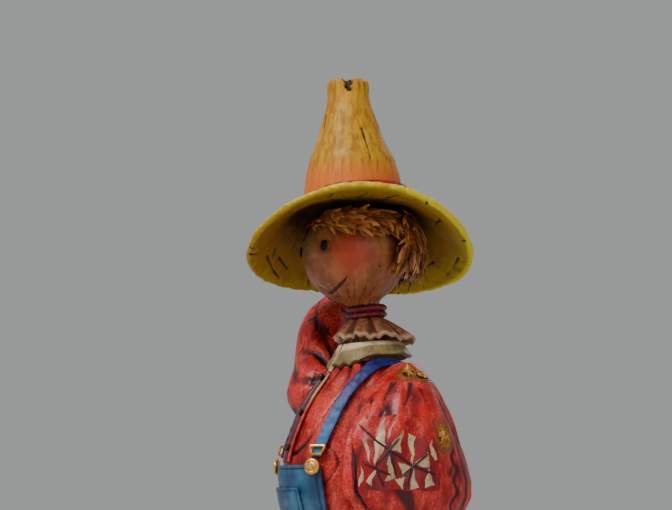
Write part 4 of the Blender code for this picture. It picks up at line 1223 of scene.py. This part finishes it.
def head_tool(place, normal):
    out = place - head_middle
    azimuth = math.degrees(math.atan2(out.x, -out.y))
    below = step_between(-out.z, 9 * MM, 18 * MM)
    sag = rough_at(place, 14 * MM, seed=50)
    gathers = math.sin(math.radians(azimuth) * 11 + 1.2 * rough_at(place, 9 * MM, (1, 1, 0.3)))
    crack = fold_line(gathers + 0.2, 0.35) * below
    lumps = 0.28 * sag + 0.1 * rough_at(place, 5 * MM, seed=51)
    depth = lumps - 0.55 * crack + 0.2 * gathers * below
    painted_shade = 0.12 - 0.15 * sag + 0.85 * crack + 0.15 * below
    for eye in eyes:
        socket = (place - eye).length / MM
        depth -= 0.35 * fold_line(socket - 2.6, 0.8)
        painted_shade += 0.55 * fold_line(socket - 2.8, 0.7)
    depth -= 2.3 * fold_line(azimuth + 14, 48) * fold_line(math.degrees(
        math.asin(max(-1.0, min(1.0, out.z / out.length)))) + 50, 24)
    share = azimuth / SMILE_SPREAD
    if SMILE_START - 0.05 < share < SMILE_END + 0.05 and out.z < 0:
        level = math.degrees(math.asin(max(-1.0, out.z / out.length)))
        groove = fold_line(level - smile_height(share), 3.2)
        depth -= 0.5 * groove
        painted_shade += 0.5 * groove
    return depth * MM, painted_shade


head = cast_over("head_ball", ["head_sack"], 0.6 * MM, 4)
carve(head, head_tool)

face_paint = open_finish("face_paint")
flesh = over(colour(168, 98, 52), colour(134, 72, 36), mottle(9.0).between(0.35, 0.65))
flesh = over(flesh, colour(188, 120, 76), mottle(5.0, shift=(40, 0, 0)).between(0.5, 0.7) * 0.5)
for way in (-1, 1):
    cheek = distance_from(on_head(way * 60, -6))
    blush = 1 - (cheek + mottle(5.0) * 4.0).between(5.0, 15.0)
    flesh = over(flesh, colour(186, 48, 20), blush * 0.72)
height = placed_along(2)
# Two dull olive-green patches on the forehead, darker than the flesh round them.
for turn, up, reach, tint in ((-2, 20, 11.0, colour(92, 98, 54)),
                              (-2, 0, 7.0, colour(112, 108, 72))):
    olive_patch = distance_from(on_head(turn, up))
    flesh = over(flesh, tint, (1 - (olive_patch + mottle(4.0) * 3.0).between(3.0, reach)) * 0.75)
flesh = over(flesh, colour(150, 90, 52), (1 - height.between(1000 * head_middle.z - 20,
                                                             1000 * head_middle.z - 8)) * 0.4)
# Painted shade darkens the face in the gathers under the chin, round the eyes and in the smile's groove.
flesh = over(flesh, colour(78, 34, 16), stored("painted_shade").between(0.3, 0.9) * 0.9)
speck = distance_from(on_head(93, -19))
flesh = over(flesh, colour(90, 50, 30), 1 - speck.between(0.4, 0.9))
close_finish(face_paint, flesh, 0.36 + mottle(3.0) * 0.2, mottle(1.2), 0.06, coat=0.15)
paint(smooth_shaded(head), face_paint, "head")

bead = open_finish("bead_black")
close_finish(bead, colour(4, 3, 4), 0.55, coat=0.0)
for side in ("left", "right"):
    repaint("eye_" + side, bead)

smile_surface = BVHTree.FromObject(head, bpy.context.evaluated_depsgraph_get())
smile_spots, smile_outs = [], []
for k in range(SMILE_STEPS + 1):
    share = SMILE_START + (SMILE_END - SMILE_START) * k / SMILE_STEPS
    outer = on_head(SMILE_SPREAD * share, smile_height(share), 6 * MM)
    spot, out = smile_surface.ray_cast(outer, (head_middle - outer).normalized())[:2]
    smile_spots.append(spot + out * 0.12 * MM)
    smile_outs.append(out)
smile = bmesh.new()
add_cord(smile, smile_spots, smile_outs, 0.6 * MM)
smile_cord = smooth_shaded(finished_bundle("smile_cord", smile))
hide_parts("mouth_stitch")
paint(smile_cord, thread_paint, "head")


# --- Hair -------------------------------------------------------------------------------------------
# Straw hair, modelled as four clumps fixed to the head under the hat: a fringe, two sides swept
# back over the ears and a thick mat behind. Flat copper stalks with pale tips lie over each.

def add_lock(bundle, spots, outs, width, thickness, shade):
    """A flat bent stalk through the given spots, pointed at its end."""
    tone = bundle.verts.layers.float["tone"]
    tip = bundle.verts.layers.float["tip"]
    rows = []
    for k, (spot, out) in enumerate(zip(spots, outs)):
        share = k / (len(spots) - 1)
        ahead = (spots[min(k + 1, len(spots) - 1)] - spots[max(k - 1, 0)]).normalized()
        side = ahead.cross(out).normalized() * width / 2
        rise = side.cross(ahead).normalized() * thickness / 2
        size = 0.7 + 0.3 * math.sin(math.pi * share) if share < 0.8 else 0.35
        row = []
        for a, b in ((-1, -1), (1, -1), (1, 1), (-1, 1)):
            vertex = bundle.verts.new(spot + side * size * a + rise * b * (1 - 0.5 * share))
            vertex[tone] = shade
            vertex[tip] = share
            row.append(vertex)
        rows.append(row)
    for low, high in zip(rows, rows[1:]):
        for k in range(4):
            bundle.faces.new((low[k], low[(k + 1) % 4], high[(k + 1) % 4], high[k]))
    bundle.faces.new(rows[0][::-1])
    bundle.faces.new(rows[-1])


def hair_tool(place, normal):
    turn = math.atan2(place.x, -(place.y - head_middle.y))
    strands = rough_at(Vector((turn * 0.02, place.z * 0.3, place.x * 0.1)), 1.6 * MM, seed=70)
    return (0.5 * strands - 1.0) * MM, 0.55 - 0.5 * strands


hair_shade = open_finish("hair_shade")
copper = over(colour(104, 50, 18), colour(50, 22, 8), stored("painted_shade").between(0.2, 0.8))
close_finish(hair_shade, copper, 0.5, mottle(0.8), 0.1, coat=0.1)

hair_paint = open_finish("hair_paint")
# The stalks' tone carries painted shade, so deeper stalks are darker and their pale tips dimmer.
copper = over(colour(74, 32, 10), colour(158, 82, 30), stored("tone"))
copper = over(copper, colour(236, 158, 84), stored("tip").between(0.25, 0.9) * stored("tone"))
copper = over(copper, colour(60, 26, 10), mottle(0.7, stretch=(1, 1, 1)).between(0.55, 0.75) * 0.5)
close_finish(hair_paint, copper, 0.42, mottle(0.5), 0.06, coat=0.2)

# Each clump: stalks, where they root and how far they run, as (from, to) in degrees
CLUMPS = {
    "front": (90, (2, 38), (28, 37), (8, 22), (-9, -2), (1.0, 2.4)),
    "left": (380, (24, 118), (22, 38), (8, 30), (-16, 4), (1.8, 5.2)),
    "right": (240, (-118, -46), (24, 37), (-30, -12), (-12, -1), (1.0, 3.0)),
    "back": (640, (112, 248), (-8, 36), (-16, 16), (-26, -6), (3.4, 8.4)),
}
for clump, (count, turns, heights, sweep, fall, lifts) in CLUMPS.items():
    node = "hair_" + clump
    mass = cast_over(node + "_mass", [node], 0.8 * MM, 3)
    carve(mass, hair_tool)
    paint(smooth_shaded(mass), hair_shade, "head")
    stalks = bmesh.new()
    stalks.verts.layers.float.new("tone")
    stalks.verts.layers.float.new("tip")
    for _ in range(count):
        azimuth, elevation = draw.uniform(*turns), draw.uniform(*heights)
        across, down = draw.uniform(*sweep), draw.uniform(*fall)
        if clump == "front" and azimuth < 0:
            across = -across
        layer = draw.random()
        lift = lifts[0] + (lifts[1] - lifts[0]) * layer
        flick = draw.uniform(-0.4, 1.6)
        curl = draw.uniform(-4, 4)
        spots = []
        for k in range(5):
            share = k / 4
            height = max(-26.0, elevation + down * share ** 1.4)
            near_neck = step_between(-height, 0, 26) * 2.6
            spots.append(on_head(azimuth + across * share + curl * math.sin(3 * share), height, (
                lift + flick * share * share * 1.2 - near_neck * (1 - layer)) * MM))
        outs = [(spot - head_middle).normalized() for spot in spots]
        # Each stalk's tone is partly random and partly painted shade: stalks lying deeper in the clump
        # are darker.
        add_lock(stalks, spots, outs, draw.uniform(1.1, 2.0) * MM, 0.45 * MM,
                 draw.uniform(0.1, 1.0) * (0.45 + 0.55 * layer))
    stalks = finished_bundle(node + "_stalks", stalks)
    paint(stalks, hair_paint, "head")


# --- Hat --------------------------------------------------------------------------------------------
# A tall straw hat cast in two pieces, a wide drooping brim and a crown pushed out of shape,
# glued to the head. Its plait is painted: yellow strokes over brown, with dark cuts in it.

ABOVE_BRIM, BELOW_BRIM = 0.30, 0.15
NEAR_SIDE = VIEW_AZIMUTH
HAT_Y = head_middle.y


def brim_share(place):
    """How far out on the brim a point is: 0 at the head, 1 at the rim; and its direction."""
    turn = math.atan2(place.x, -(place.y - HAT_Y))
    away = (1 - math.cos(turn - NEAR_SIDE)) / 2
    reach = math.hypot(place.x, place.y - HAT_Y)
    return (reach - 12 * MM) / ((48.5 - 7 * away ** 3 - 12) * MM), turn


def brim_spot(turn, share, under=True):
    """A spot on the brim's skin, by degrees from the camera's side and share of its width."""
    around = NEAR_SIDE + math.radians(turn)
    away = (1 - math.cos(math.radians(turn))) / 2
    reach = 12 * MM + share * (36.5 - 7 * away ** 3) * MM
    start = Vector((reach * math.sin(around), HAT_Y - reach * math.cos(around),
                    BELOW_BRIM if under else ABOVE_BRIM))
    return brim_skin.ray_cast(start, Vector((0, 0, 1 if under else -1)))[0]


brim_skin = BVHTree.FromObject(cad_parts["hat_brim"],
                               bpy.context.evaluated_depsgraph_get())
UNDER_CUTS = [(brim_spot(a, b), brim_spot(c, d)) for a, b, c, d in (
    (-103, 0.73, -119, 0.81), (-119, 0.81, -127, 0.85), (-106, 0.65, -110, 0.72),
    (-117, 0.70, -130, 0.77), (-75, 0.90, -77, 0.84), (-80, 0.89, -89, 0.79),
    (45, 0.64, 53, 0.74), (53, 0.74, 57, 0.78), (57, 0.78, 63, 0.74), (63, 0.74, 75, 0.62),
    (95, 0.90, 115, 0.94), (119, 0.80, 142, 0.88), (23, 0.47, 25, 0.80), (5, 0.36, 15, 0.32),
    (15, 0.32, 26, 0.37), (3, 0.46, 8, 0.68), (32, 0.86, 33, 0.90), (36, 0.99, 39, 0.90),
    (71, 0.98, 74, 0.93), (-18, 0.60, -10, 0.78), (160, 0.66, 170, 0.90),
    (-146, 0.62, -150, 0.88), (-166, 0.70, -160, 0.92), (-56, 0.62, -52, 0.80))]
TOP_CUTS = [(brim_spot(turn, 0.42 + 0.1 * (k % 3), False),
             brim_spot(turn + 9 * (-1) ** k, 0.86, False))
            for k, turn in enumerate(range(-170, 180, 26))]


def brim_tool(place, normal):
    share, turn = brim_share(place)
    under = normal.z < 0
    edge = step_between(share, 0.90, 0.98)
    lumps = rough_at(place, 9 * MM, seed=80) * 0.45 + rough_at(place, 3.5 * MM, seed=81) * 0.22
    plait = math.sin(turn * 70 + 3 * rough_at(place, 6 * MM)) * 0.1 * (1 - edge)
    nick = fold_line(rough_at(Vector((math.sin(turn), math.cos(turn), 0)) * 0.05, 3.2 * MM,
                              seed=82) - 0.42, 0.14) * edge
    cuts = cut_depth(place, UNDER_CUTS if under else TOP_CUTS, 0.9 * MM)
    depth = lumps + plait + 0.2 * edge - 1.1 * nick - 0.7 * cuts
    painted_shade = 0.9 * min(1.0, 1.6 * cuts) + 0.7 * nick - 0.2 * lumps
    return depth * MM, painted_shade


brim = cast_over("brim_straw", ["hat_brim"], 0.75 * MM, 4)
rimward = [brim_share(vertex.co)[0] for vertex in brim.data.vertices]
shaded = [1.0 if vertex.normal.z < 0 else 0.0 for vertex in brim.data.vertices]
carve(brim, brim_tool)
keep(brim, "rimward", rimward)
keep(brim, "underside", shaded)

brim_paint = open_finish("brim_paint")
rimward_tone = stored("rimward") + (mottle(7.0) - 0.5) * 0.22
top_yellow = over(colour(206, 160, 14), colour(232, 206, 14), mottle(3.0).between(0.35, 0.65))
# Painted shade on the brim's underside: dark brown by the head, lighter out towards the rim, with olive
# patches.
under_brim_shade = over(colour(56, 28, 2), colour(160, 112, 0), rimward_tone.between(0.3, 0.7))
under_brim_shade = over(under_brim_shade, colour(188, 160, 4), rimward_tone.between(0.74, 1.0))
under_brim_shade = over(under_brim_shade, colour(96, 92, 20), mottle(6.0, shift=(9, 0, 0)).between(
    0.52, 0.7) * 0.55)
straw = over(top_yellow, under_brim_shade, stored("underside"))
# Painted highlight: the rim's edge is painted bright yellow, on the underside as well as on top.
straw = over(straw, colour(236, 212, 4), stored("rimward").between(0.975, 1.0) * 0.9)
# Painted shade darkens the cuts and nicks in the brim.
straw = over(straw, colour(44, 24, 6), stored("painted_shade").between(0.25, 0.8) * 0.9)
close_finish(brim_paint, straw, 0.5 + mottle(2.5) * 0.22, mottle(1.3), 0.14, coat=0.1)
paint(smooth_shaded(brim), brim_paint, "head")

crown_low, crown_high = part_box("hat_crown")


def crown_centre(z):
    share = (z - crown_low.z) / (crown_high.z - crown_low.z)
    return Vector((0, HAT_Y - 3 * MM * share, z))


def crown_spot(turn, z):
    """A spot on the crown's skin, by degrees from the camera's side and height."""
    around = NEAR_SIDE + math.radians(turn)
    way = Vector((math.sin(around), -math.cos(around), 0))
    return crown_skin.ray_cast(crown_centre(z) + way * 0.06, -way)[0]


crown_skin = BVHTree.FromObject(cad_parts["hat_crown"],
                                bpy.context.evaluated_depsgraph_get())
CROWN_CUTS = [(crown_spot(a, b), crown_spot(c, d)) for a, b, c, d in (
    (20.5, 0.2862, 24, 0.2727), (84, 0.2840, 76, 0.2740),
    (-66, 0.2930, -58, 0.2780), (100, 0.2900, 112, 0.2760), (150, 0.2860, 140, 0.2740),
    (-120, 0.2880, -108, 0.2750), (-160, 0.2920, -168, 0.2800))]


def crown_tool(place, normal):
    out = place - crown_centre(place.z)
    turn = math.atan2(out.x, -out.y)
    strokes = rough_at(Vector((math.sin(turn) * 0.02, math.cos(turn) * 0.02, place.z * 0.12)),
                       2.2 * MM, seed=90)
    lumps = rough_at(place, 11 * MM, seed=91)
    cuts = cut_depth(place, CROWN_CUTS, 0.8 * MM)
    fray = step_between(place.z, crown_high.z - 9 * MM, crown_high.z - 2 * MM)
    frayed = math.sin(turn * 17 + 2 * rough_at(place, 5 * MM)) * 0.35 * fray
    depth = 0.2 * strokes + 0.5 * lumps + frayed - 0.7 * cuts
    return depth * MM, 0.9 * min(1.0, 1.6 * cuts) - 0.5 * strokes * 0.3 - 0.9 * frayed


crown = cast_over("crown_straw", ["hat_crown"], 0.65 * MM, 3)
carve(crown, crown_tool)
NOTCH_WIDTH, NOTCH_DEPTH = 5.0 * MM, 6.0 * MM
crown_painted_shades = crown.data.attributes["painted_shade"].data
# The sunk top and the notch in front also get painted shade, as deep as they are sunk.
for k, vertex in enumerate(crown.data.vertices):
    out = vertex.co - crown_centre(vertex.co.z)
    if vertex.co.z > crown_high.z - 1.2 * MM:
        reach = math.hypot(out.x, out.y)
        turn = math.atan2(out.x, -out.y)
        dip = 3.4 * MM * (1 - step_between(reach, 4.4 * MM, 6.6 * MM))
        teeth = 0.9 * MM * (0.5 + 0.5 * math.sin(turn * 9 + 2.0 * math.sin(turn * 4)))
        vertex.co.z -= dip + teeth
        crown_painted_shades[k].value = max(crown_painted_shades[k].value, min(1.0, dip / (2 * MM)))
    aside = out.dot(camera_right) - 0.4 * MM * math.sin(vertex.co.z * 2200)
    drop = (crown_high.z - vertex.co.z) / NOTCH_DEPTH
    if out.dot(towards_camera) > 2 * MM and drop < 1:
        slot = 1 - step_between(abs(aside) / (NOTCH_WIDTH / 2 * (1 - 0.6 * max(0.0, drop))), 0.6, 1)
        vertex.co -= towards_camera * 2.6 * MM * slot
        crown_painted_shades[k].value = max(crown_painted_shades[k].value, slot)
crown.data.update()

crown_paint = open_finish("crown_paint")
brushed = mottle(2.4, stretch=(1, 1, 0.14))
fine = mottle(0.9, stretch=(1, 1, 0.1))
ochre = over(colour(206, 150, 8), colour(170, 108, 6), brushed.between(0.38, 0.62))
ochre = over(ochre, colour(226, 180, 22), fine.between(0.52, 0.7) * 0.6)
height = placed_along(2)
warm = 1 - (height + (brushed - 0.5) * 9.0).between(263.0, 275.0)
ochre = over(ochre, colour(224, 104, 30), warm * 0.85)
ochre = over(ochre, colour(120, 72, 18), fine.between(0.3, 0.12) * 0.5)
# Painted shade darkens the crown's cuts, its sunk top and the notch in front.
ochre = over(ochre, colour(50, 26, 8), stored("painted_shade").between(0.3, 0.85) * 0.92)
close_finish(crown_paint, ochre, 0.5 + brushed * 0.2, fine + brushed, 0.12, coat=0.1)
paint(smooth_shaded(crown), crown_paint, "head")

top_straw = bmesh.new()
for k in range(46):
    turn = 2 * math.pi * k / 46 + draw.uniform(-0.05, 0.05)
    way = Vector((math.sin(turn), -math.cos(turn), 0))
    if way.dot(towards_camera) > 0.93:
        continue
    root = crown_centre(crown_high.z - 5 * MM) + way * draw.uniform(5.6, 7.2) * MM
    tip = root + way * draw.uniform(-0.3, 0.8) * MM + Vector((0, 0, draw.uniform(3.6, 5.6) * MM))
    add_straw(top_straw, root, tip, 1.4 * MM, 0.7 * MM)
top_straw = finished_bundle("crown_fray", top_straw)
paint(top_straw, crown_paint, "head")


# --- Hat band ------------------------------------------------------------------------------------------
# A narrow crimson ribbon glued round the foot of the crown. It sits a little higher on one
# side, and on the other it is sunk into the straw.

band_low, band_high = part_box("hat_band")
BAND_FOLD = 0.2592


def band_tool(place, normal):
    turn = math.atan2(place.x, -(place.y - HAT_Y))
    creases = rough_at(place, 5 * MM, (1, 1, 2.5), 95.0)
    fold = fold_line(place.z - BAND_FOLD - 0.4 * MM * math.sin(turn * 3), 0.5 * MM)
    return (0.3 * creases - 0.35 * fold) * MM, 0.3 - 0.4 * creases + 0.4 * fold


band = cast_over("band_ribbon", ["hat_band"], 0.5 * MM, 3)
carve(band, band_tool)
middle = (band_low.z + band_high.z) / 2
for vertex in band.data.vertices:
    aside = vertex.co.dot(camera_right)
    tucked = 1.6 * MM * step_between(-aside, 9 * MM, 15 * MM)
    away = Vector((vertex.co.x, vertex.co.y - HAT_Y, 0))
    vertex.co -= away.normalized() * (0.3 * MM + tucked)
    vertex.co.z = middle + 0.6 * (vertex.co.z - middle) + 2.0 * MM + 0.07 * aside
band_paint = open_finish("band_paint")
crimson = over(colour(176, 16, 24), colour(120, 8, 16), mottle(4.0).between(0.35, 0.65))
# Painted shade darkens the band in its creases and along its fold.
crimson = over(crimson, colour(60, 4, 10), stored("painted_shade").between(0.3, 0.9))
close_finish(band_paint, crimson, 0.32 + mottle(2.0) * 0.2, mottle(0.8), 0.08)
paint(smooth_shaded(band), band_paint, "head")
